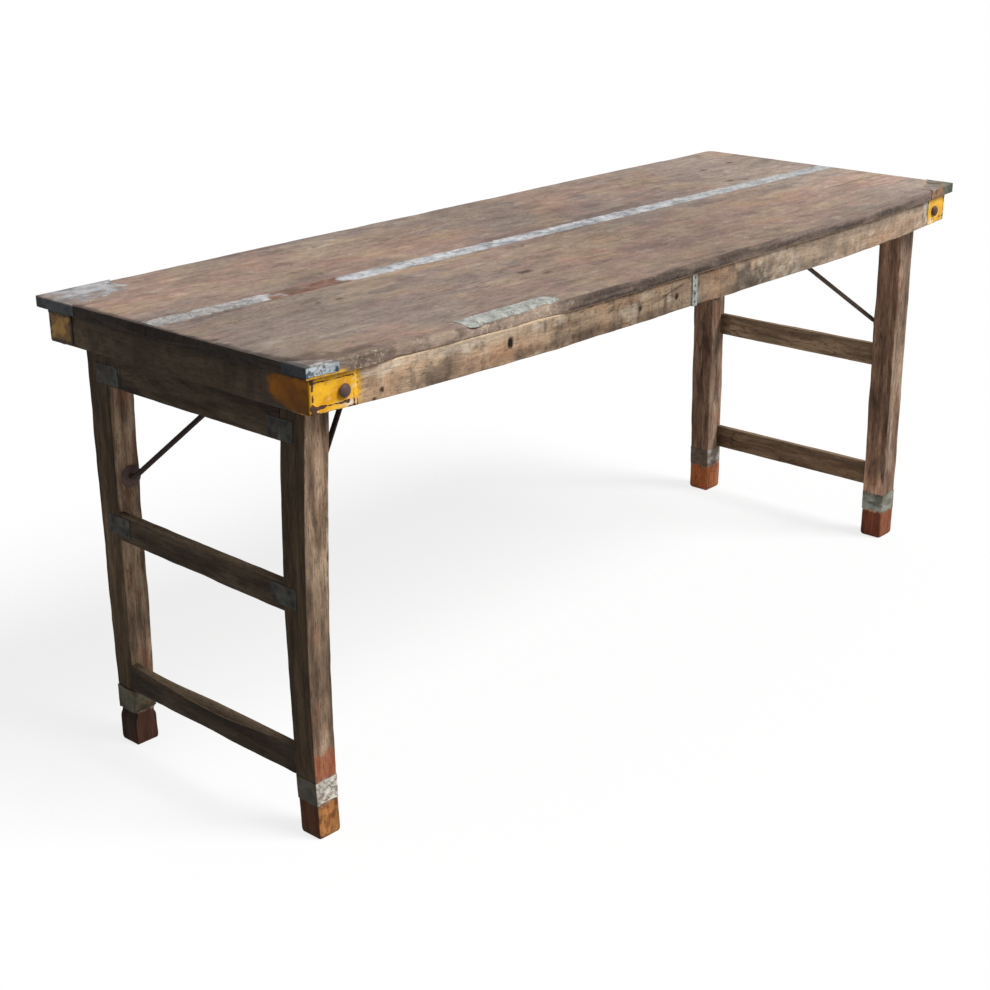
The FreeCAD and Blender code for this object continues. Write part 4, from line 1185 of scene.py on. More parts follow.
def leg_tint(end, face, out, y, z, minus_x, minus_y):
    """A leg's wood under pale and dark clouds on its front, runs, dark and red flecks, and the foot."""
    seed = 60 + 7 * end + 3 * face
    colour = leg_wood(end, face, drift_at(out, y, z / 12, 7, seed, 3), z, minus_x)
    runs = drift_at(out, y, z / 6, 14, seed + 1, 4)
    cloud = drift_at(out, y, z / 2, 44, seed + 2, 4)
    colour = over(colour, (184, 160, 134), 0.5 * minus_y * ease(0.1, 0.7, cloud))
    colour = over(colour, (76, 62, 52), 0.4 * minus_y * ease(0.2, 0.7, -cloud))
    colour = over(colour, (62, 49, 41), 0.5 * ease(0.15, 0.7, runs))
    colour = over(colour, (58, 47, 40), 0.35 * ease(0.5, 0.85, drift_at(out, y, z / 5, 6, seed + 5, 2)))
    red = ease(0.25, 0.8, drift_at(out, y, z / 2, 22, seed + 6, 3))
    colour = over(colour, (150, 92, 66), 0.35 * minus_y * red)
    if end == LEFT and face == FAR:
        colour = over(colour, (60, 44, 38), 0.5 * hump(z, 222, 34) * (1 - minus_x))
    return with_foot(colour, end, face, out, y, z, minus_x, minus_y, runs, seed)


print("leg colours ready")

# %% [markdown]
# ## Four legs
# A leg could be a box with loop cuts, scaled to its taper. Here worn sections are carried up between its
# faces and then leant, so that wear, notches and a nibbled edge are placed by height.


# %% Four legs
def looking_left(end, facing):
    """1 on the face of a leg that looks left. A square walk goes low, outer, high and inner."""
    return ((facing == 1) if end == LEFT else (facing == 3)) * 1.0


def make_leg(end, face):
    """A leg from its foot to the half round above the pivot."""
    name = f"leg_{FACE_NAMES[face]}_{END_NAMES[end]}"
    up, inset = stations(-PIVOT_Z, LEG_HALF, 3.2, 1.6)
    from_floor = np.clip(1 - (up + PIVOT_Z) / 9, 0, 1)
    foot_round = FOOT_ROUND[end] * (1 - np.sqrt(1 - from_floor ** 2))
    inner, outer, low, high = leg_faces(end, face, up)
    inner, outer = inner + foot_round, outer - foot_round
    walk = square_walk(15, 16)
    out, y, edge = worn_sections(up, inner, outer, low + foot_round, high - foot_round, walk,
                                 2.8, 0.6, 80 + 5 * end + face, inset)
    z = PIVOT_Z + up[:, None] + 0 * out
    facing = walk[2] + 0 * out
    minus_y = (facing == 0) * 1.0
    if end == LEFT and face == FAR:
        notch = 4.5 * hump(z, 55, 6) + 2.5 * hump(z, 98, 4)
        from_middle = out - (outer + inner)[:, None] / 2
        out = out - np.sign(from_middle) * notch * (np.abs(from_middle) > 12)
    tint = leg_tint(end, face, out, y, z, looking_left(end, facing), minus_y)
    if end == LEFT and face == NEAR:
        nibble = ease(9, 1, edge) * ease(0.05, 0.5, drift_at(out, y, z / 2, 5, 87, 2)) * minus_y
        nibble = nibble * (out < inner[:, None] + 12) * ease(330, 420, z)
        tint = over(tint, (206, 192, 174), 0.5 * nibble)
    end_grain = (inset > 1.5)[:, None] * np.ones_like(out)
    tint = over(tint, (70, 52, 42), 0.6 * end_grain)
    rings = leant(end, out, y, up[:, None] + 0 * out)
    add_wood(name, rings, LEG_WOOD_Z, LEG_FRAMES[end], tint)


for end, face in CORNERS:
    make_leg(end, face)

# %% [markdown]
# ## Rails of the leg frames
# Three laths cross each frame; the left low one is worn hollow by feet. Cutting that with a Boolean would
# leave a hard rim, so its height is held below a curve. Near ends of left rails follow the bowed leg.

# %% Rails of the leg frames
RAIL_THICK = 13.0
# Bottom above the pivot, and height
RAILS = {
    "top": (-89.0, 65.0),
    "mid": (PIVOT_Z * 0.5168 - PIVOT_Z, 46.5),
    "low": (PIVOT_Z * 0.1422 - PIVOT_Z, 49.0),
}


def rail_shift(end, kind, y):
    """How far a rail stands out at a place across: all of the leg's bow at the near end, none at the
    far end."""
    bottom, height = RAILS[kind]
    return bow_out(end, NEAR, bottom + height / 2) * (LEG_INNER - y) / (2 * LEG_INNER)


def rail_wood(end, kind, out, y, up, seed):
    """Two browns mixed by streaks, with pale clouds: on the left frame the dark tones of the painted shade
    on the left legs, on the right lighter ones, and on the middle right rail the painted light of the right
    legs.
    """
    streak = ease(-0.4, 0.5, drift_at(out, y / 12, up, 7, seed + 1, 3))
    if end == LEFT:
        tint = over((78, 66, 53), (54, 45, 36), streak) * (0.78 if kind == "low" else 1)
    elif kind == "mid":
        tint = over((194, 162, 130), (150, 122, 98), streak)
    else:
        tint = over((164, 132, 104), (126, 100, 78), streak)
    cloud = drift_at(out, y / 3, up, 30, seed + 2, 2)
    return over(tint, (150, 130, 106), (0.12 if end == LEFT else 0.35) * ease(0.2, 0.8, cloud))


def with_split(tint, y, z):
    """The crack in the left top rail: a short upright line, then a wandering one towards the leg."""
    split = 632 + 4 * drift_at(y, 0, 0, 9, 117, 2)
    crack = hump(y, 168, 1.8) * (z > 630) * (z < 664) + hump(z, split, 1.8) * (y > 115) * (y < 170)
    return over(tint, (24, 20, 18), 0.9 * crack)


def make_rail(end, kind):
    """A lath between the legs, rubbed pale along its upper edges and darker towards the legs."""
    name = f"{kind}_rail_{END_NAMES[end]}"
    bottom, height = RAILS[kind]
    along, inset = stations(-LEG_INNER, LEG_INNER, 3, 0.6)
    shift = rail_shift(end, kind, along)
    back = LEG_HALF - RAIL_THICK + shift
    seed = 110 + 9 * end + len(kind) + int(height)
    out, up, edge = worn_sections(along, back, LEG_HALF + shift, bottom, bottom + height,
                                  square_walk(7, 16), 2.0, 0.5, seed, inset)
    y = along[:, None] + 0 * out
    front = out - back[:, None]
    if end == LEFT and kind == "low":
        hollow = 13 * hump(y, -20, 120) * ease(2, RAIL_THICK, front)
        up = np.minimum(up, bottom + height - 1 - hollow - 4 * hump(y, 110, 90))
    tint = rail_wood(end, kind, out, y, up, seed)
    if end == LEFT and kind == "top":
        tint = with_split(tint, y, PIVOT_Z + up)
    upper = ease(height - 16, height - 3, up - bottom) * (front < RAIL_THICK - 0.8)
    rubbed = np.maximum(upper, 0.6 * ease(5, 1, edge) * (up - bottom > height / 2))
    tint = over(tint, (140, 120, 97), 0.6 * rubbed)
    tint = over(tint, (44, 36, 32), 0.5 * ease(34, 4, LEG_INNER - np.abs(y)))
    add_wood(name, leant(end, out, y, up), LEG_WOOD_Y, LEG_FRAMES[end], tint)


for end in (LEFT, RIGHT):
    for kind in RAILS:
        make_rail(end, kind)

# %% [markdown]
# ## Nail heads
# Small flat nails hold the tin. Half a sphere would do for a head, but a nail is a low dome: a short profile
# turned once round. All the nails of one body are joined into one piece at the end.

# %% Nail heads
nails = {body: [] for body in ("table_top", *LEG_FRAMES.values())}
# A head's profile as shares of its height and its radius, and the points round it
NAIL_RISE = np.array((-0.35, 0.0, 0.45, 0.78, 0.95))
NAIL_REACH = np.array((1.0, 1.0, 0.86, 0.55, 0.22))
NAIL_STEPS = 10


def nail(body, centre, axis, radius, height):
    """Keep a low dome for a body: the profile turned round the axis and closed below."""
    axis = np.array(axis, float)
    side = np.cross(axis, (0.0, 0.0, 1.0))
    angle = once_round(NAIL_STEPS)
    circle = np.cos(angle)[:, None] * side + np.sin(angle)[:, None] * np.cross(axis, side)
    rings = (np.array(centre, float) + NAIL_RISE[:, None, None] * height * axis
             + NAIL_REACH[:, None, None] * radius * circle)
    nails[body].append(bar_faces(rings))


print("nail helper ready")

# %% [markdown]
# ## Tin strips on the top
# A long strip covers the seam and a short one mends the bowed edge. Displace could dent a plane, but old tin
# has gnawed edges too, so a strip's width and height both wander, and it follows the worn board.

# %% Tin strips on the top
TIN_THICK, TIN_SUNK = 0.8, 0.9


def tin_strip(name, x, centre, half, colours, seed, ragged):
    """A strip along the table: noise bites into both sides and dents it, its borders are turned down,
    and it falls with the worn edge below it."""
    across = np.linspace(-1, 1, 13)
    low = (centre - half + ragged[0] * bite(x, 0, 0, 11, seed, 3))[:, None]
    high = (centre + half - ragged[1] * bite(x, 0, 50, 11, seed + 1, 3))[:, None]
    y = low + (high - low) * (across + 1) / 2
    grid_x = x[:, None] + 0 * y
    dent = 0.25 * bite(grid_x, y, 0, 13, seed + 2, 2) + 0.45 * np.abs(across) ** 6
    fall = corner_drawn(y - near_edge(grid_x), 0 * y, *edge_wear(grid_x))[1]
    front = spots(grid_x, y, TOP_Z + TIN_THICK - dent - fall)
    back = spots(grid_x, y, TOP_Z - TIN_SUNK - fall)
    tint, metal = colours(grid_x, y)
    add_tin(name, sheet_faces(front, back), "table_top", both_sides(tint, 3), both_sides(metal, 1), 60)


def strip_tint(x, y):
    """Silver clouds, duller at both ends, brown flecks, and a red-brown stain with ragged ends where
    the strip has lost its tin; the share of metal is none on that stain."""
    colour = over((196, 197, 200), (150, 152, 156), ease(-0.3, 0.6, drift_at(x / 2, y, 0, 20, 123, 3)))
    colour = over(colour, (176, 178, 176), ease(100, 500, x) * 0.6)
    colour = over(colour, (146, 139, 132), 0.75 * ease(-640, -700, x))
    colour = over(colour, (112, 98, 88), 0.6 * ease(0.35, 0.8, drift_at(x, y, 0, 7, 129, 3)))
    stain = over((124, 84, 66), (118, 92, 77), ease(-0.25, 0.25, drift_at(x / 4, y, 0, 12, 125, 3)))
    worn = stretch(x + 24 * drift_at(x, y, 0, 26, 121, 3), -657, -635, -490, -472)
    return over(colour, stain, worn), 1 - worn


STRIP_HALF, SEAM_LENGTH = 20, 1756.3
strip_x = np.linspace(-867.5, 879.0, 620)
seam = seam_y((strip_x + HALF_LENGTH) / SEAM_LENGTH)
tin_strip("centre_strip", strip_x, seam, STRIP_HALF, strip_tint, 127, (1.5, 7.0))

# %% [markdown]
# ## The patch at the bowed edge
# The short mend has four differently rounded corners. They could be bevelled on a plane; since a strip is a
# middle line and a half width, a quarter circle taken off each border gives the same outline.

# %% The patch at the bowed edge
PATCH_HALF, PATCH_MIDDLE = 102, -470.88
PATCH_NEAR, PATCH_FAR = -325.4, -288.6


def rounded_off(distance, radius):
    """How far a quarter circle draws a border in, at a distance from the end."""
    return radius - np.sqrt(np.maximum(radius ** 2 - np.maximum(radius - distance, 0) ** 2, 0))


def patch_tint(x, y):
    """Grey-green tin in two tones with fine brown specks, and one share of metal all over."""
    colour = over((180, 182, 174), (158, 160, 150), ease(-0.2, 0.6, drift_at(x, y, 0, 9, 131, 3)))
    colour = over(colour, (112, 104, 94), 0.6 * ease(0.3, 0.6, drift_at(x, y, 0, 4, 132, 2)))
    return colour, np.full(x.shape, 0.8)


patch_x = np.linspace(-PATCH_HALF, PATCH_HALF, 110)
from_left, from_right = patch_x + PATCH_HALF, PATCH_HALF - patch_x
patch_near = PATCH_NEAR + rounded_off(from_left, 15) + rounded_off(from_right, 7)
patch_far = PATCH_FAR - rounded_off(from_left, 4) - rounded_off(from_right, 17)
tin_strip("patch_strip", patch_x + PATCH_MIDDLE, (patch_near + patch_far) / 2, (patch_far - patch_near) / 2,
          patch_tint, 133, (2.5, 3.0))

# %% [markdown]
# ## Shape of a corner cap
# Three corners are capped with folded tin: a flap with a torn edge and a skirt. Bending tools could fold
# it; a ruled sheet is enough, from the torn line to the board's edge and on downwards.

# %% Shape of a corner cap
CAP_STEPS, FLAP_ROWS, SKIRT_ROWS, CAP_SKIN = 90, 22, 8, 0.78


def unit(direction):
    """The same direction with a length of one."""
    return direction / np.linalg.norm(direction)


def lengths_along(points):
    """How far each point of a line lies from its start."""
    return np.concatenate([[0], np.cumsum(np.linalg.norm(np.diff(points, axis=0), axis=1))])


def even_steps(points, count):
    """Even steps along straight runs between given points."""
    points = np.asarray(points, float)
    lengths = lengths_along(points)
    place = np.linspace(0, lengths[-1], count)
    return np.stack([np.interp(place, lengths, points[:, k]) for k in range(points.shape[1])], -1)


def raised(plan, z):
    """Plan points with a height of their own each, or one for all."""
    return np.concatenate([plan, np.broadcast_to(z, plan.shape[:-1])[..., None]], -1)


def two_runs(points):
    """Steps along the end of the top and then along its side, half of them on each."""
    return np.concatenate([even_steps(points[:2], CAP_STEPS // 2), even_steps(points[1:], CAP_STEPS // 2)])


def end_x(end, y):
    """The end of the top at a place across it; the right one is out of square."""
    return end * (HALF_LENGTH + (skewed(y) if end == RIGHT else 0.0))


def cap_rim(end, face, run, back, skin):
    """The board's edge, moved out by a skin: back along the end, the corner, and along the side."""
    slope = math.tan(math.radians(TOP_SLOPE)) if face == NEAR else 0.0
    y_back = face * (HALF_WIDTH - back)
    corner = (end_x(end, face * HALF_WIDTH) + end * skin, face * (HALF_WIDTH - slope * skin + skin))
    side = (end * (HALF_LENGTH - run), face * (HALF_WIDTH + run * slope + skin))
    return np.array([(end_x(end, y_back) + end * skin, y_back), corner, side])


def torn_line(rim, inside, ragged, bulge, seed):
    """The flap's inner border: from the rim's ends to a point inside, swollen by the bulge along its
    first half, then bitten back towards the corner by noise."""
    torn = two_runs(np.array([rim[0], inside, rim[2]]))
    depth = ragged * bite(torn[:, 0], torn[:, 1], 0, 16, seed, 3)
    swell = np.sin(np.pi * np.clip(np.linspace(0, 2, CAP_STEPS), 0, 1))[:, None]
    torn = torn + (torn - rim[1]) * bulge * swell
    pull = rim[1] - torn
    return torn + pull * np.minimum(depth / np.maximum(np.linalg.norm(pull, axis=1), 1), 0.6)[:, None]


def corner_cap(end, face, run, back, inset, colours, seed, ragged, bulge, skirt):
    """A cap: the flap between the torn line and the rim, creased by noise and pressed down at the tear,
    a fold, and a skirt whose length wanders; the back lies in the wood."""
    name = f"corner_cap_{FACE_NAMES[face]}_{END_NAMES[end]}"
    rim = cap_rim(end, face, run, back, 0.0)
    inside = rim[2] - (0, face * inset)
    wood, outer = two_runs(rim), two_runs(cap_rim(end, face, run, back, CAP_SKIN))
    share = np.linspace(1, 0, FLAP_ROWS)[:, None]
    flap = wood + (torn_line(rim, inside, ragged, bulge, seed) - wood) * share[..., None]
    lift = TIN_THICK - 0.25 * bite(flap[..., 0], flap[..., 1], 0, 12, seed + 2, 2) - 0.4 * (share > 0.97)
    length = skirt - 1.2 * bite(wood[:, 0], wood[:, 1], 0, 9, seed + 1, 2)
    skirt_z = TOP_Z - 0.2 - np.linspace(0, 1, SKIRT_ROWS + 1)[1:, None] * length
    rows = (SKIRT_ROWS, CAP_STEPS, 2)
    front = np.concatenate([raised(flap, TOP_Z + lift), raised(outer, TOP_Z + 0.15)[None],
                            raised(np.broadcast_to(outer, rows), skirt_z)])
    drawn_in = np.broadcast_to(wood - (wood - inside) * 0.012, rows)
    rear = np.concatenate([raised(flap, TOP_Z - TIN_SUNK), raised(wood, TOP_Z - TIN_SUNK)[None],
                           raised(drawn_in, skirt_z)])
    tint = colours(front[..., 0], front[..., 1], front[..., 2])
    add_tin(name, sheet_faces(front, rear), "table_top", both_sides(tint, 3))


print("cap helpers ready")

# %% [markdown]
# ## Three corner caps
# Each cap has aged in its own way: lilac silver, silver with speckled blue, and grey-green with rust. One
# noisy finish would make them alike, so each has a colour function that knows the flap from the skirt.


# %% Three corner caps
def on_skirt(z, depth):
    """1 below the fold of a cap, eased over a given depth."""
    return ease(TOP_Z - 0.5, TOP_Z - depth, z)


def far_cap_tint(x, y, z):
    """Silver and lilac on top with brown clouds, brown towards the end, slate on the skirt."""
    cloud = drift_at(x, y, z, 18, 141, 3)
    colour = over((174, 173, 174), (128, 125, 126), ease(-0.3, 0.6, cloud))
    colour = over(colour, (128, 112, 100), 0.6 * ease(-838, -866, x + 10 * cloud))
    colour = over(colour, (140, 121, 108), 0.7 * ease(0.05, 0.5, drift_at(x, y, z, 26, 143, 3)))
    return over(colour, (54, 59, 62), 0.97 * on_skirt(z, 2.5))


def near_left_cap_tint(x, y, z):
    """Silver on top, brown inwards, speckled blue along the front, dark slate on the end."""
    cloud = drift_at(x, y, z, 9, 145, 3)
    colour = over((186, 186, 184), (120, 112, 106), ease(-0.3, 0.4, cloud))
    colour = over(colour, (120, 102, 92), 0.85 * ease(5, 11, y + top_bow(x)))
    colour = over(colour, (58, 58, 58), 0.85 * ease(-858, -867, x + 4 * cloud))
    front = on_skirt(z, 2) * (y < -308.3) * (x > -871.6)
    speckled = ease(0.05, 0.35, drift_at(x, y, z, 3.4, 147, 3)) * ease(757, 748, z)
    blue = over((186, 194, 198), (66, 106, 134), speckled)
    blue = over(blue, (66, 60, 58), 0.8 * ease(0.25, 0.45, drift_at(x, y, z, 3.8, 148, 3)))
    colour = over(colour, blue, front)
    return over(colour, (48, 53, 57), 0.97 * on_skirt(z, 2) * (1 - front))


def near_right_cap_tint(x, y, z):
    """Grey-green lip with orange rust, its inner half rubbed as brown as the board."""
    cloud = drift_at(x, y, z, 12, 149, 3)
    colour = over((118, 114, 100), (92, 92, 82), ease(-0.3, 0.5, cloud))
    rust = ease(0.0, 0.5, drift_at(x, y, z, 16, 151, 3)) * ease(870, 850, x)
    colour = over(colour, (176, 116, 66), 0.75 * rust)
    skirt = on_skirt(z, 2)
    colour = over(colour, (92, 94, 84), 0.8 * skirt)
    rubbed = over((150, 134, 122), (104, 88, 78), skirt)
    rubbed = over(rubbed, (178, 126, 76), 0.8 * skirt * ease(0.05, 0.35, drift_at(x, y, z, 9, 159, 3)))
    return over(colour, rubbed, 0.92 * ease(838, 814, x + 12 * cloud))


corner_cap(LEFT, FAR, run=137, back=95, inset=47, colours=far_cap_tint, seed=153, ragged=14, bulge=0.2,
           skirt=17.4)
corner_cap(LEFT, NEAR, run=55, back=48, inset=16, colours=near_left_cap_tint, seed=155, ragged=5, bulge=0,
           skirt=14.5)
corner_cap(RIGHT, NEAR, run=100, back=60, inset=24, colours=near_right_cap_tint, seed=157, ragged=9,
           bulge=0, skirt=17.4)

# %% [markdown]
# ## Tin strap on the near apron
# A narrow nailed strap of tin crosses the apron left of its middle. It could be a thin box; as a sheet its
# sides can be uneven and its borders turned down like the other tin.

# %% Tin strap on the near apron
STRAP_NAILS = (694, 708, 722, 735)
STRAP_HALF = 6.9


def apron_strap():
    """A low sheet on the apron's straight crest, with a dark ring about each nail."""
    z_line = np.linspace(APRON_Z + 0.3, UNDER_Z - 0.3, 40)
    share = np.linspace(-1, 1, 9)
    x = STRAP_X + (STRAP_HALF - 0.8 * bite(z_line, 0, 0, 7, 161, 2))[:, None] * share
    z = z_line[:, None] + 0 * x
    skin = 0.75 - 0.2 * np.abs(share) ** 6 - 0.15 * bite(x, 0, z, 6, 163, 2)
    faces = sheet_faces(spots(x, -CREST - skin, z), spots(x, -CREST + 1.2, z))
    tint = over((166, 170, 164), (128, 132, 126), ease(-0.3, 0.6, drift_at(x, 0, z, 8, 165, 3)))
    for nail_z in STRAP_NAILS:
        tint = over(tint, (56, 50, 46), 0.7 * ease(3.6, 1.8, np.hypot(x - STRAP_X, z - nail_z)))
        nail("table_top", (STRAP_X, -CREST - 0.45, nail_z), (0, -1, 0), 1.9, 0.35)
    add_tin("apron_strap", faces, "table_top", both_sides(tint, 3), np.full(2 * x.size, 0.7), 60)


apron_strap()

# %% [markdown]
# ## Shape of the corner straps
# Each apron corner is held by a bent iron strap with a rounded tip. A plate with a Bevel would do for the
# shape, but the chips follow its border, so it is one sheet whose columns go round the corner.

# %% Shape of the corner straps
STRAP_LOW, STRAP_HIGH, STRAP_RUN = APRON_Z + 1.5, APRON_Z + 53.5, 79.0
END_RUN = {NEAR: 95.0, FAR: 60.0}
STRAP_TIP, STRAP_BEND, STRAP_SKIN = 11.0, 5, 2.45


def apron_slope(face):
    """How far an apron's face goes out for each millimetre along, near the table's ends."""
    return math.tan(math.radians(APRON_SLOPE)) if face == NEAR else 0.0


def strap_line(end, face, skin):
    """Plan of a strap at a skin over the wood: end leg, bend as a quadratic curve, side leg."""
    slope = apron_slope(face)
    out = skin * math.hypot(1, slope)
    tail = np.array((end * (APRON_END + skin), face * (APRON_SIDE - END_RUN[face])))
    corner = np.array((end * (APRON_END + skin), face * (APRON_SIDE - skin * slope + out)))
    head = np.array((end * (APRON_END - STRAP_RUN), face * (APRON_SIDE + STRAP_RUN * slope + out)))
    before = corner + unit(tail - corner) * STRAP_BEND
    after = corner + unit(head - corner) * STRAP_BEND
    t = np.linspace(0, 1, 10)[1:-1, None]
    bend = (1 - t) ** 2 * before + 2 * t * (1 - t) * corner + t ** 2 * after
    return np.concatenate([even_steps([tail, before], 46), bend, even_steps([after, head], 40)])


def strap_sheet(end, face):
    """The strap as a sheet: a raised ridge inside its upper border and its head, thin rims and small
    dents. Gives both sides, and for each point how far along, how high and how near a border it is."""
    base = strap_line(end, face, 0.0)
    skin = strap_line(end, face, STRAP_SKIN) - base
    travelled = lengths_along(base)
    total = travelled[-1]
    cut = rounded_off(travelled, STRAP_TIP)
    wobble = 0.5 * bite(travelled, 0, 0, 9, 171 + 3 * end + face, 2)
    bottom, top = (STRAP_LOW + cut + wobble)[:, None], (STRAP_HIGH - cut - wobble)[:, None]
    z = bottom + (top - bottom) * np.linspace(0, 1, 34)
    s = travelled[:, None] + 0 * z
    groove = np.minimum(STRAP_HIGH - z, total - s)
    border = np.minimum(np.minimum(z - STRAP_LOW, STRAP_HIGH - z), np.minimum(s + 1, total - s))
    ridge = hump(groove, 5.0, 1.6) * (s > END_RUN[face] * 0.9)
    lift = 1.7 + 0.75 * ridge - 0.9 * ease(1.5, 0, border) - 0.2 * bite(s, z, 0, 14, 173, 2)
    plan = base[:, None] + skin[:, None] * np.clip(lift / STRAP_SKIN, 0, 1)[..., None]
    back = np.broadcast_to((base - skin * 0.4)[:, None], plan.shape)
    return SimpleNamespace(front=raised(plan, z), back=raised(back, z), s=s, z=z, groove=groove,
                           border=border, total=total)


print("strap helpers ready")

# %% [markdown]
# ## Yellow paint and its chips
# The near straps are yellow, dull on the end, chipped at borders, bend, ridge and bolt. Chips could be
# painted by hand; as bells about those lines they sit alike on every strap, and noise varies them.


# %% Yellow paint and its chips
def strap_chips(sheet, end, face, worn, fine, side_leg):
    """How far the paint has gone: along the borders, the bend, both grooves and a line above the lower
    border of the side leg, and round the bolt; less on the right."""
    s, z, end_run = sheet.s, sheet.z, END_RUN[face]
    at_border = ease(5, 0.4, sheet.border)
    on_side = 0.3 * at_border + 0.85 * hump(s, end_run + 3, 5) + 0.75 * hump(sheet.groove, 7, 1.6)
    on_side = on_side + 0.2 * hump(STRAP_HIGH - z, 7, 1.6) + 0.3 * ease(0.2, 0.8, worn)
    low_line = hump(z, STRAP_LOW + 9, 3.2) * ease(sheet.total - 10, sheet.total - 18, s)
    on_side = on_side + 0.95 * low_line
    bolt_rim = np.hypot(sheet.front[..., 0] - end * PIVOT_X, z - PIVOT_Z)
    chip = 0.4 * at_border + 0.2 * fine - 0.2 + side_leg * on_side * (1.0 if end == LEFT else 0.72)
    chip = chip + 0.35 * side_leg * ease(16, 11, bolt_rim)
    return chip + 0.5 * hump(s, end_run - 5, 3) * (face == NEAR)


def near_strap_tint(sheet, end, worn, fine, side_leg):
    """Yellow on the side leg; on the end leg dull brown, darker downwards, with a painted shadow under the
    board along the top, and bare iron at the tip; pale rubs on the side leg's lower border and head, and
    fine scuffs beyond the bend."""
    s, z, total, end_run = sheet.s, sheet.z, sheet.total, END_RUN[NEAR]
    yellow = over((250, 190, 50), (234, 166, 34), ease(-0.3, 0.5, worn))
    dull = over((146, 88, 5), (120, 71, 5), ease(-0.5, 0.5, worn))
    dull = over(dull, (88, 53, 5), 0.8 * ease(STRAP_HIGH - 4, STRAP_LOW + 8, z) * ease(0, end_run, s))
    # painted shadow: the top of the end leg darkens under the board's edge
    dull = over(dull, (34, 27, 20), 0.8 * ease(STRAP_HIGH - 6, STRAP_HIGH - 1, z + 2 * fine))
    bare = s - 14 - 34 * np.abs((z - STRAP_LOW - 30) / 26) ** 3
    dull = over(dull, (56, 46, 36), ease(10, -10, bare + 4 * fine))
    tint = over(dull, yellow, side_leg)
    white = hump(z, STRAP_LOW + 6, 5) * hump(s, total - 14, 9)
    tint = over(tint, (236, 230, 214), 0.9 * side_leg * white)
    rubbed = np.maximum(ease(9, 1, z - STRAP_LOW), 0.8 * ease(6, 0.5, total - s)) * ease(-0.2, 0.35, fine)
    tint = over(tint, (238, 218, 176), 0.8 * side_leg * rubbed)
    scuff = ease(0.45, 0.7, drift_at(s / 3, z, 0, 2.2, 179 + end, 2)) * ease(20, 34, s - end_run)
    return over(tint, (240, 222, 182), 0.4 * side_leg * scuff)


def far_strap_tint(sheet, worn, fine):
    """Faded brown paint with dark borders and a dark bend."""
    tint = over((172, 132, 74), (122, 92, 54), ease(-0.5, 0.5, worn))
    rim = np.minimum(sheet.border, np.abs(sheet.s - END_RUN[FAR]) + 1)
    return over(tint, (44, 33, 26), 0.95 * ease(10, 4.5, rim + 3 * fine))


def corner_strap(end, face):
    """A strap with its paint and its chips."""
    name = f"corner_strap_{FACE_NAMES[face]}_{END_NAMES[end]}"
    sheet = strap_sheet(end, face)
    side_leg = ease(END_RUN[face] - 3, END_RUN[face] + 3, sheet.s)
    worn = drift_at(sheet.s, sheet.z, 0, 12, 175 + end, 3)
    fine = drift_at(sheet.s, sheet.z, 0, 4, 177 + face, 3)
    if face == NEAR:
        tint = near_strap_tint(sheet, end, worn, fine, side_leg)
    else:
        tint = far_strap_tint(sheet, worn, fine)
    chip = strap_chips(sheet, end, face, worn, fine, side_leg)
    add_piece(f"{name}_painted", sheet_faces(sheet.front, sheet.back), STRAP, "table_top", (name,),
              both_sides(tint, 3), {"chip": both_sides(chip, 1)}, 50)


for end, face in CORNERS:
    corner_strap(end, face)

# %% [markdown]
# ## Pivot bolts
# The bolt heads are forged domes, not quite round. A sphere on a cylinder would look machined, so a profile
# is turned and noise is taken off its rim. Spacers, nuts and hooks keep their solids and only get iron.

# %% Pivot bolts
# A bolt's profile from the shank's end outwards: radius, and distance out from the seat of the head
BOLT_REACH = np.array((5.0, 5.0, 10.2, 10.5, 10.3, 9.4, 7.6, 5.2, 2.4))
HEAD_PLACE = (0.0, 0.0, 0.7, 1.6, 2.9, 4.3, 5.3, 5.85)
SHANK_END, HEAD_RADIUS, STRAP_THICK = LEG_INNER - 0.6 - 8 - 3, 10.5, 2.5


def pivot_bolt(end, face):
    """A bolt: its profile turned round an axis across the table, with noise taken off the head's rim."""
    slope = apron_slope(face)
    seat = APRON_SIDE + (APRON_END - PIVOT_X + HEAD_RADIUS) * slope + STRAP_THICK * math.hypot(1, slope)
    angle = once_round(40)
    off = 0.05 * bite(3 * np.cos(angle), 3 * np.sin(angle), end, 1.5, 181 + face, 2)
    around = BOLT_REACH[:, None] * (1 - off * (BOLT_REACH > 6)[:, None])
    place = np.array((SHANK_END - seat, *HEAD_PLACE))[:, None]
    return bar_faces(spots(end * PIVOT_X + around * np.cos(angle), face * (seat + place),
                           PIVOT_Z + around * np.sin(angle)))


add_piece("pivot_bolts_forged", joined([pivot_bolt(end, face) for end, face in CORNERS]), BOLT_IRON,
          "table_top", ("pivot_bolts",), sharp=50)
for node in ("pivot_spacers", "pivot_nuts", "stay_catch_left", "stay_catch_right"):
    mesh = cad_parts[node].data
    mesh.materials.clear()
    mesh.materials.append(ROD_IRON)
print("iron on spacers, nuts and hooks")

# %% [markdown]
# ## Tin bands round the feet
# A strip of tin is wrapped round each foot. A thickened copy of the leg's faces could serve; this wall asks
# the leg for its faces and lies a skin further out, with wavy edges.

# %% Tin bands round the feet
BAND_HEIGHT, BAND_GAP, BAND_SKIN, BAND_SUNK, BAND_ROUND = 42, 0.5, 0.6, 1.6, 3.2
BAND_WALK = square_walk(28, 28)


def band_wall(end, face, up, grow):
    """One side of a band: the leg's section made larger by a growth, with its corners rounded."""
    walk_a, walk_b, _ = BAND_WALK
    inner, outer, low, high = leg_faces(end, face, up)
    from_a = (outer - inner + 2 * grow) * np.minimum(walk_a, 1 - walk_a)
    from_b = (high - low + 2 * grow) * np.minimum(walk_b, 1 - walk_b)
    new_a, new_b = corner_drawn(from_a, from_b, BAND_ROUND, BAND_ROUND)
    out = np.where(walk_a < 0.5, inner - grow + new_a, outer + grow - new_a)
    y = np.where(walk_b < 0.5, low - grow + new_b, high + grow - new_b)
    return leant(end, out, y, up)


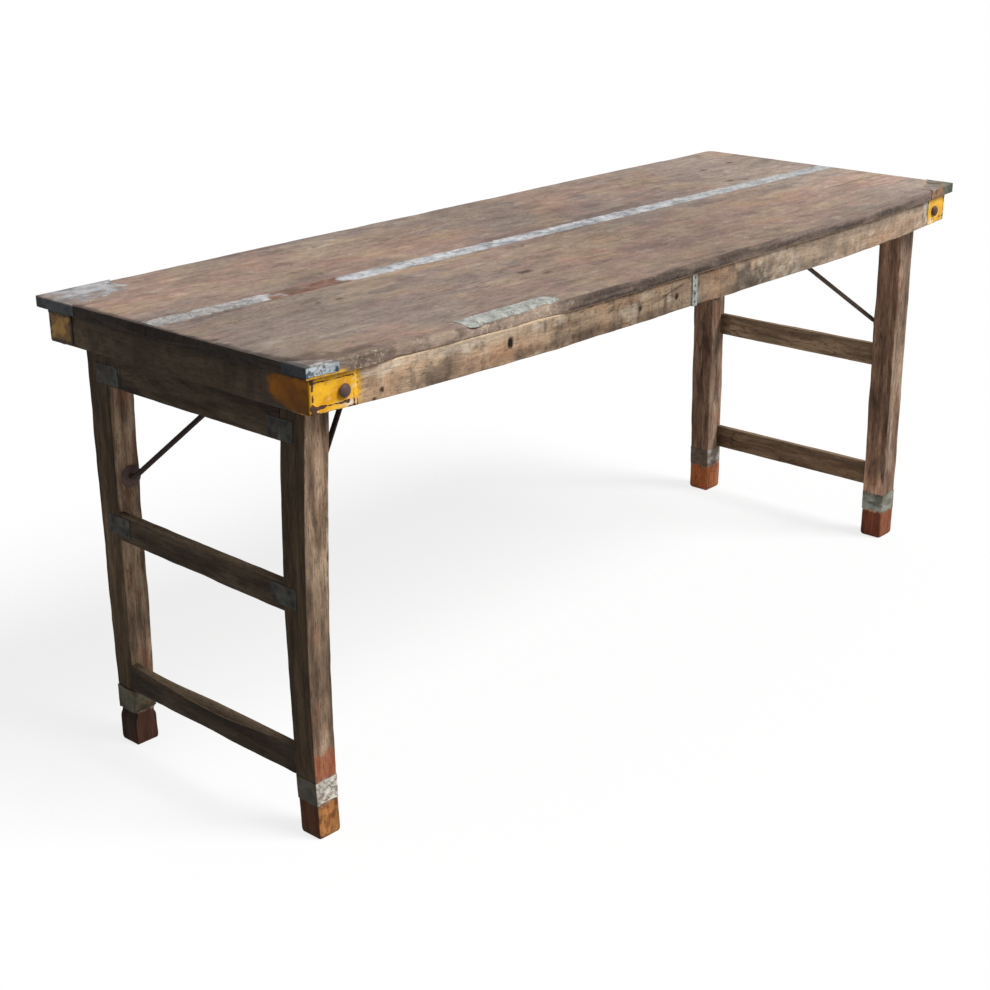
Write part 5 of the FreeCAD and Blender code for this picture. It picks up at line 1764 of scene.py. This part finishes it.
def band_tint(end, face, a, b, z, shaded, seed):
    """Tin in two tones for each foot, with a crackle on the near left one, painted shade on the side that
    looks left (painted light on the near right band), and rust flecks on all."""
    # each band has its own painted shade or light on the side that looks left, set by the shaded mask
    cloud = drift_at(a, b, z, 11, seed + 3, 3)
    if end == LEFT and face == NEAR:
        tint = over((208, 202, 190), (162, 150, 136), ease(-0.15, 0.45, cloud))
        crackle = np.abs(drift_at(a, b, 0.6 * z, 5, seed + 6, 3))
        tint = over(tint, (104, 84, 68), 0.8 * ease(0.2, 0.05, crackle))
        tint = over(tint, (70, 65, 55), 0.97 * shaded)
    elif end == LEFT:
        tint = over((98, 92, 74), (70, 62, 50), ease(-0.3, 0.4, cloud))
    elif face == NEAR:
        tint = over((142, 144, 132), (110, 112, 100), ease(-0.3, 0.5, cloud))
        tint = tint * (1 + 0.45 * shaded)[..., None]
    else:
        tint = over((172, 164, 156), (136, 126, 116), ease(-0.3, 0.5, cloud))
        tint = over(tint, (112, 88, 68), 0.8 * shaded)
    return over(tint, (120, 84, 60), 0.5 * ease(0.35, 0.8, drift_at(a, b, z, 6, seed + 4, 2)))


def foot_band(end, face):
    """A band: a dented outside and a plain inside, joined above and below."""
    name = f"foot_band_{FACE_NAMES[face]}_{END_NAMES[end]}"
    seed = 190 + 5 * end + face
    high_up = RAILS["low"][0] - BAND_GAP
    a, b = 20 * BAND_WALK[0], 20 * BAND_WALK[1]
    bottom = high_up - BAND_HEIGHT + 0.3 + 3.0 * bite(a, b, 0, 7, seed, 2)
    top = high_up - 0.3 - 2.5 * bite(a, b, 0, 7, seed + 1, 2)
    up = bottom + (top - bottom) * np.linspace(0, 1, 24)[:, None]
    outside = band_wall(end, face, up, BAND_SKIN - 0.35 * bite(a, b, up, 8, seed + 2, 2))
    rings = np.concatenate([outside, band_wall(end, face, up, -BAND_SUNK)[::-1]])
    quads = grid_quads(*rings.shape[:2], wrap=True, wrap_rows=True)
    shaded = looking_left(end, BAND_WALK[2]) + 0 * up
    tint = band_tint(end, face, a, b, PIVOT_Z + up, shaded, seed)
    full = np.concatenate([tint, tint[::-1]]).reshape(-1, 3)
    add_tin(name, (rings.reshape(-1, 3), quads, NO_TRIS), LEG_FRAMES[end], full)


for end, face in CORNERS:
    foot_band(end, face)

# %% [markdown]
# ## Joint plates
# Small tin plates are nailed over the rail joints. On the bowed leg they lie half on the leg, half on the
# slanting rail. Shrinkwrap could lay them down; asking both for their faces does it without a modifier.

# %% Joint plates
# Half width and height of a plate, and its nails: across from its middle and up from its foot
PLATE_HALF, PLATE_HIGH = 28.8, 31.8
PLATE_NAILS = ((-20, 8), (17, 24), (-14, 25), (21, 7))
# How far above a rail's bottom its plates start
PLATE_RISE = {"top": 3.0, "mid": 9.0}


def joint_plate(end, face, kind):
    """A plate as faces and colours: uneven sides, small dents, two dark tones with rust, and a dark
    stain about each nail. On the left frame the dark tones carry painted shade; on the right they are
    lifted 3.4 times. Its nails are kept for the body."""
    middle, foot = face * LEG_INNER, RAILS[kind][0] + PLATE_RISE[kind]
    seed = 210 + 11 * end + 5 * face + len(kind) + int(PLATE_RISE[kind])
    y_line = np.linspace(middle - PLATE_HALF, middle + PLATE_HALF, 30)
    up_line = np.linspace(foot + 0.2, foot + PLATE_HIGH, 18)
    y, up = np.meshgrid(y_line, up_line, indexing="ij")
    uneven = 1.3 * bite(y, up, 0, 6, seed, 2) * (np.abs(y - middle) > 27)
    y = y - np.sign(y - middle) * uneven
    on_leg = ease(-2, 2, np.abs(y) - LEG_INNER)
    base = LEG_HALF + rail_shift(end, kind, y) * (1 - on_leg) + bow_out(end, face, up) * on_leg
    front = leant(end, base + CAP_SKIN - 0.25 * bite(y, up, 0, 10, seed + 1, 2), y, up)
    tint = over((62, 64, 58), (43, 43, 38), ease(-0.3, 0.5, drift_at(y, up, 0, 12, seed + 2, 3)))
    # painted shade: the left plates keep the dark tones on faces away from the light; the right ones are
    # lifted
    tint = tint * (1 if end == LEFT else 3.4)
    tint = over(tint, (66, 51, 40), 0.6 * ease(0.1, 0.7, drift_at(y, up, 0, 9, seed + 3, 3)))
    for nail_y, nail_up in PLATE_NAILS:
        reach = np.hypot(y - middle - nail_y, up - foot - nail_up)
        tint = over(tint, (22, 18, 16), 0.9 * ease(6.5, 3.2, reach))
        row = np.argmin(np.abs(y_line - middle - nail_y))
        place = front[row, np.argmin(np.abs(up_line - foot - nail_up))] - (end * 0.35, 0, 0)
        nail(LEG_FRAMES[end], place, (end, 0, 0), 2.3, 0.35)
    return sheet_faces(front, leant(end, base - 1.2, y, up)), both_sides(tint, 3)


for end in (LEFT, RIGHT):
    name = f"joint_plates_{END_NAMES[end]}"
    plates = [joint_plate(end, face, kind) for face in (NEAR, FAR) for kind in PLATE_RISE]
    tint = np.concatenate([plate_tint for _, plate_tint in plates])
    add_tin(name, joined([faces for faces, _ in plates]), LEG_FRAMES[end], tint)
for body, heads in nails.items():
    add_piece(f"nails_{body}", joined(heads), ROD_IRON, body, (), sharp=60)

# %% [markdown]
# ## Rod stays
# One bent rod per frame: pins, elbows, leaning arms, rounded corners and a crossbar. A bevelled curve would
# give the tube, but a worked-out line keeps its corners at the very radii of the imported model.

# %% Rod stays
STAY_X, STAY_Z, STAY_ANGLE = 800.7034, 469.9972, math.radians(40.4839)
ROD, STAY_RUN, SHOULDER, BAR_HALF = 4.5, 388.0, 194.0, 50.0
ELBOW, CORNER, PIN, ROD_STEPS = 9.0, 20.0, 227.0, 560


def rounded_line(corners, radii):
    """Straight runs between corners, each inner corner cut back to an arc of its own radius."""
    corners = np.asarray(corners, float)
    line = [corners[:1]]
    for before, corner, after, radius in zip(corners, corners[1:], corners[2:], radii):
        back, on = unit(before - corner), unit(after - corner)
        half = math.acos(np.clip(back @ on, -1, 1)) / 2
        centre = corner + unit(back + on) * radius / math.sin(half)
        first = corner + back * radius / math.tan(half) - centre
        last = corner + on * radius / math.tan(half) - centre
        turn = np.linspace(0, 1, 14)[:, None]
        sweep = math.acos(np.clip(first @ last / radius ** 2, -1, 1))
        arc = (np.sin((1 - turn) * sweep) * first + np.sin(turn * sweep) * last) / math.sin(sweep)
        line.append(centre + arc)
    line.append(corners[-1:])
    return np.concatenate(line)


def make_stay(end):
    """A rod: circles of a slightly wandering radius across a line in the stay's own plane, which is
    then tilted up from the leg to the hook."""
    half = [(0, PIN), (0, SHOULDER), (STAY_RUN, BAR_HALF)]
    line = rounded_line(half + [(run, -y) for run, y in half[::-1]], (ELBOW, CORNER, CORNER, ELBOW))
    travelled = np.linspace(0, lengths_along(line)[-1], ROD_STEPS)
    plan = even_steps(line, ROD_STEPS)
    along = np.gradient(plan, axis=0)
    along = along / np.linalg.norm(along, axis=1)[:, None]
    angle = once_round(18)
    thick = (ROD - 0.15 * bite(travelled, 0, 0, 40, 221 + end, 2))[:, None]
    sideways, rise = thick * np.cos(angle), thick * np.sin(angle)
    run = plan[:, :1] - along[:, 1:] * sideways
    y = plan[:, 1:] + along[:, :1] * sideways
    x = end * (STAY_X - run * math.cos(STAY_ANGLE) - rise * math.sin(STAY_ANGLE))
    z = STAY_Z + run * math.sin(STAY_ANGLE) - rise * math.cos(STAY_ANGLE)
    name = f"stay_{END_NAMES[end]}"
    iron = ROD_IRON if end == LEFT else PALE_ROD
    add_piece(f"{name}_rod", bar_faces(spots(x, y, z)), iron, f"rod_{name}", (name,), sharp=60)


# A washer's section: radius, and distance in from the leg
WASHER_REACH = np.array((4.6, 18.2, 18.9, 18.9, 17.8, 7.5, 4.6))[:, None]
WASHER_AWAY = np.array((0.0, 0.0, 0.2, 0.9, 1.35, 1.5, 1.2))[:, None]


def washer(end, face):
    """A ring where the rod enters a leg: its section turned round the pin, with a ragged rim."""
    turn = once_round(48)
    ragged = 1 - 0.03 * bite(2 * np.cos(turn), 2 * np.sin(turn), face, 1.0, 225 + end, 2)
    around = WASHER_REACH * np.where(WASHER_REACH > 10, ragged, 1)
    rings = spots(end * STAY_X + around * np.cos(turn), face * (LEG_INNER - WASHER_AWAY),
                  STAY_Z + around * np.sin(turn))
    return rings.reshape(-1, 3), grid_quads(*rings.shape[:2], wrap=True, wrap_rows=True), NO_TRIS


for end in (LEFT, RIGHT):
    make_stay(end)
    name = f"stay_washers_{END_NAMES[end]}"
    add_piece(f"{name}_rusty", joined([washer(end, face) for face in (NEAR, FAR)]), BOLT_IRON,
              LEG_FRAMES[end], (name,), sharp=50)

# %% [markdown]
# ## Floor and world
# The photograph is a cut-out on white, so floor and world are white to the camera. A plain white room would
# wash out the shade under the table, so the light that travels on from them is weaker.


# %% Floor and world
def shown_as(tree, lit, seen, output):
    """Mix two shaders by Light Path: the second for rays from the camera, mirrors or glass, the first
    for all other light."""
    path = add_node(tree, "ShaderNodeLightPath")
    direct = sums(tree, "MAXIMUM", path.outputs["Is Camera Ray"], path.outputs["Is Glossy Ray"])
    direct = sums(tree, "MAXIMUM", direct, path.outputs["Is Transmission Ray"])
    choose = add_node(tree, "ShaderNodeMixShader")
    for socket, value in zip(choose.inputs, (direct, lit.outputs[0], seen.outputs[0])):
        tree.links.new(value, socket)
    tree.links.new(choose.outputs[0], tree.nodes[output].inputs["Surface"])


WHITE = (1, 1, 1, 1)
FLOOR_HALF, FLOOR_GREY, FLOOR_GLOW, FILL = 14.0, (0.5, 0.5, 0.5, 1), 0.8, 0.3


def make_floor():
    """A wide square: grey to the light, and to the camera white by four parts glow to one of shade."""
    far = FLOOR_HALF
    mesh = bpy.data.meshes.new("floor")
    mesh.from_pydata([(-far, -far, 0), (far, -far, 0), (far, far, 0), (-far, far, 0)], [], [(0, 1, 2, 3)])
    floor = bpy.data.objects.new("floor", mesh)
    bpy.context.scene.collection.objects.link(floor)
    finish = bpy.data.materials.new("pale_floor")
    finish.use_nodes = True
    tree = finish.node_tree
    shader = tree.nodes["Principled BSDF"]
    shader.inputs["Base Color"].default_value = FLOOR_GREY
    shader.inputs["Roughness"].default_value = 0.9
    shader.inputs["Specular IOR Level"].default_value = 0.0
    pale = add_node(tree, "ShaderNodeBsdfDiffuse", input_Color=WHITE)
    glow = add_node(tree, "ShaderNodeEmission", input_Color=WHITE, input_Strength=1.0)
    seen = add_node(tree, "ShaderNodeMixShader", input_0=FLOOR_GLOW)
    tree.links.new(pale.outputs[0], seen.inputs[1])
    tree.links.new(glow.outputs[0], seen.inputs[2])
    shown_as(tree, shader, seen, "Material Output")
    mesh.materials.append(finish)


make_floor()
world = bpy.data.worlds.new("studio")
bpy.context.scene.world = world
world.use_nodes = True
fill = world.node_tree.nodes["Background"]
fill.inputs["Color"].default_value = WHITE
fill.inputs["Strength"].default_value = FILL
white = add_node(world.node_tree, "ShaderNodeBackground", input_Color=WHITE, input_Strength=1.0)
shown_as(world.node_tree, fill, white, "World Output")
print("floor and world ready")

# %% [markdown]
# ## Light and camera
# One soft light comes from the front right and above. The view could be matched by eye; instead the camera
# stands where the corners of the top and the feet line up with the photograph.

# %% Light and camera
SUN_FROM, SUN_STRENGTH, SUN_SOFTNESS = (0.25, -0.62, 0.74), 3.1, 28
YAW, PITCH, ROLL = 0.8320, 0.3564, -0.0095
EYE = (np.array((-2328.84, -1970.32, 1397.60)) + MIDDLE) / 1000
FOCAL_PIXELS, PHOTO_PIXELS, SENSOR = 1733.96, 990, 36.0


def facing(right, up, back):
    """A turn whose own axes point right, up and back."""
    return Matrix(np.stack([right, up, back], axis=1).tolist()).to_4x4()


def soft_sun(name, source, strength, softness):
    """An even light: its rays come from the given direction, spread by the softness in degrees."""
    data = bpy.data.lights.new(name, "SUN")
    data.energy = strength
    data.angle = math.radians(softness)
    obj = bpy.data.objects.new(name, data)
    bpy.context.scene.collection.objects.link(obj)
    back = unit(np.array(source))
    right = unit(np.cross((0, 0, 1), back))
    obj.matrix_world = facing(right, np.cross(back, right), back)


def photo_camera():
    """The camera at the eye, turned by yaw and pitch and then rolled about its line of sight."""
    forward = np.array((math.sin(YAW) * math.cos(PITCH), math.cos(YAW) * math.cos(PITCH), -math.sin(PITCH)))
    level_right = np.array((math.cos(YAW), -math.sin(YAW), 0))
    level_up = np.cross(level_right, forward)
    right = math.cos(ROLL) * level_right + math.sin(ROLL) * level_up
    up = -math.sin(ROLL) * level_right + math.cos(ROLL) * level_up
    data = bpy.data.cameras.new("photo_view")
    data.sensor_fit = "HORIZONTAL"
    data.sensor_width = SENSOR
    data.lens = FOCAL_PIXELS / PHOTO_PIXELS * SENSOR
    data.clip_end = 60
    camera = bpy.data.objects.new("photo_view", data)
    bpy.context.scene.collection.objects.link(camera)
    camera.matrix_world = Matrix.Translation(EYE) @ facing(right, up, -forward)
    return camera


soft_sun("key", SUN_FROM, SUN_STRENGTH, SUN_SOFTNESS)
bpy.context.scene.camera = photo_camera()
bpy.context.scene.view_settings.view_transform = "Standard"
print("camera at", EYE)
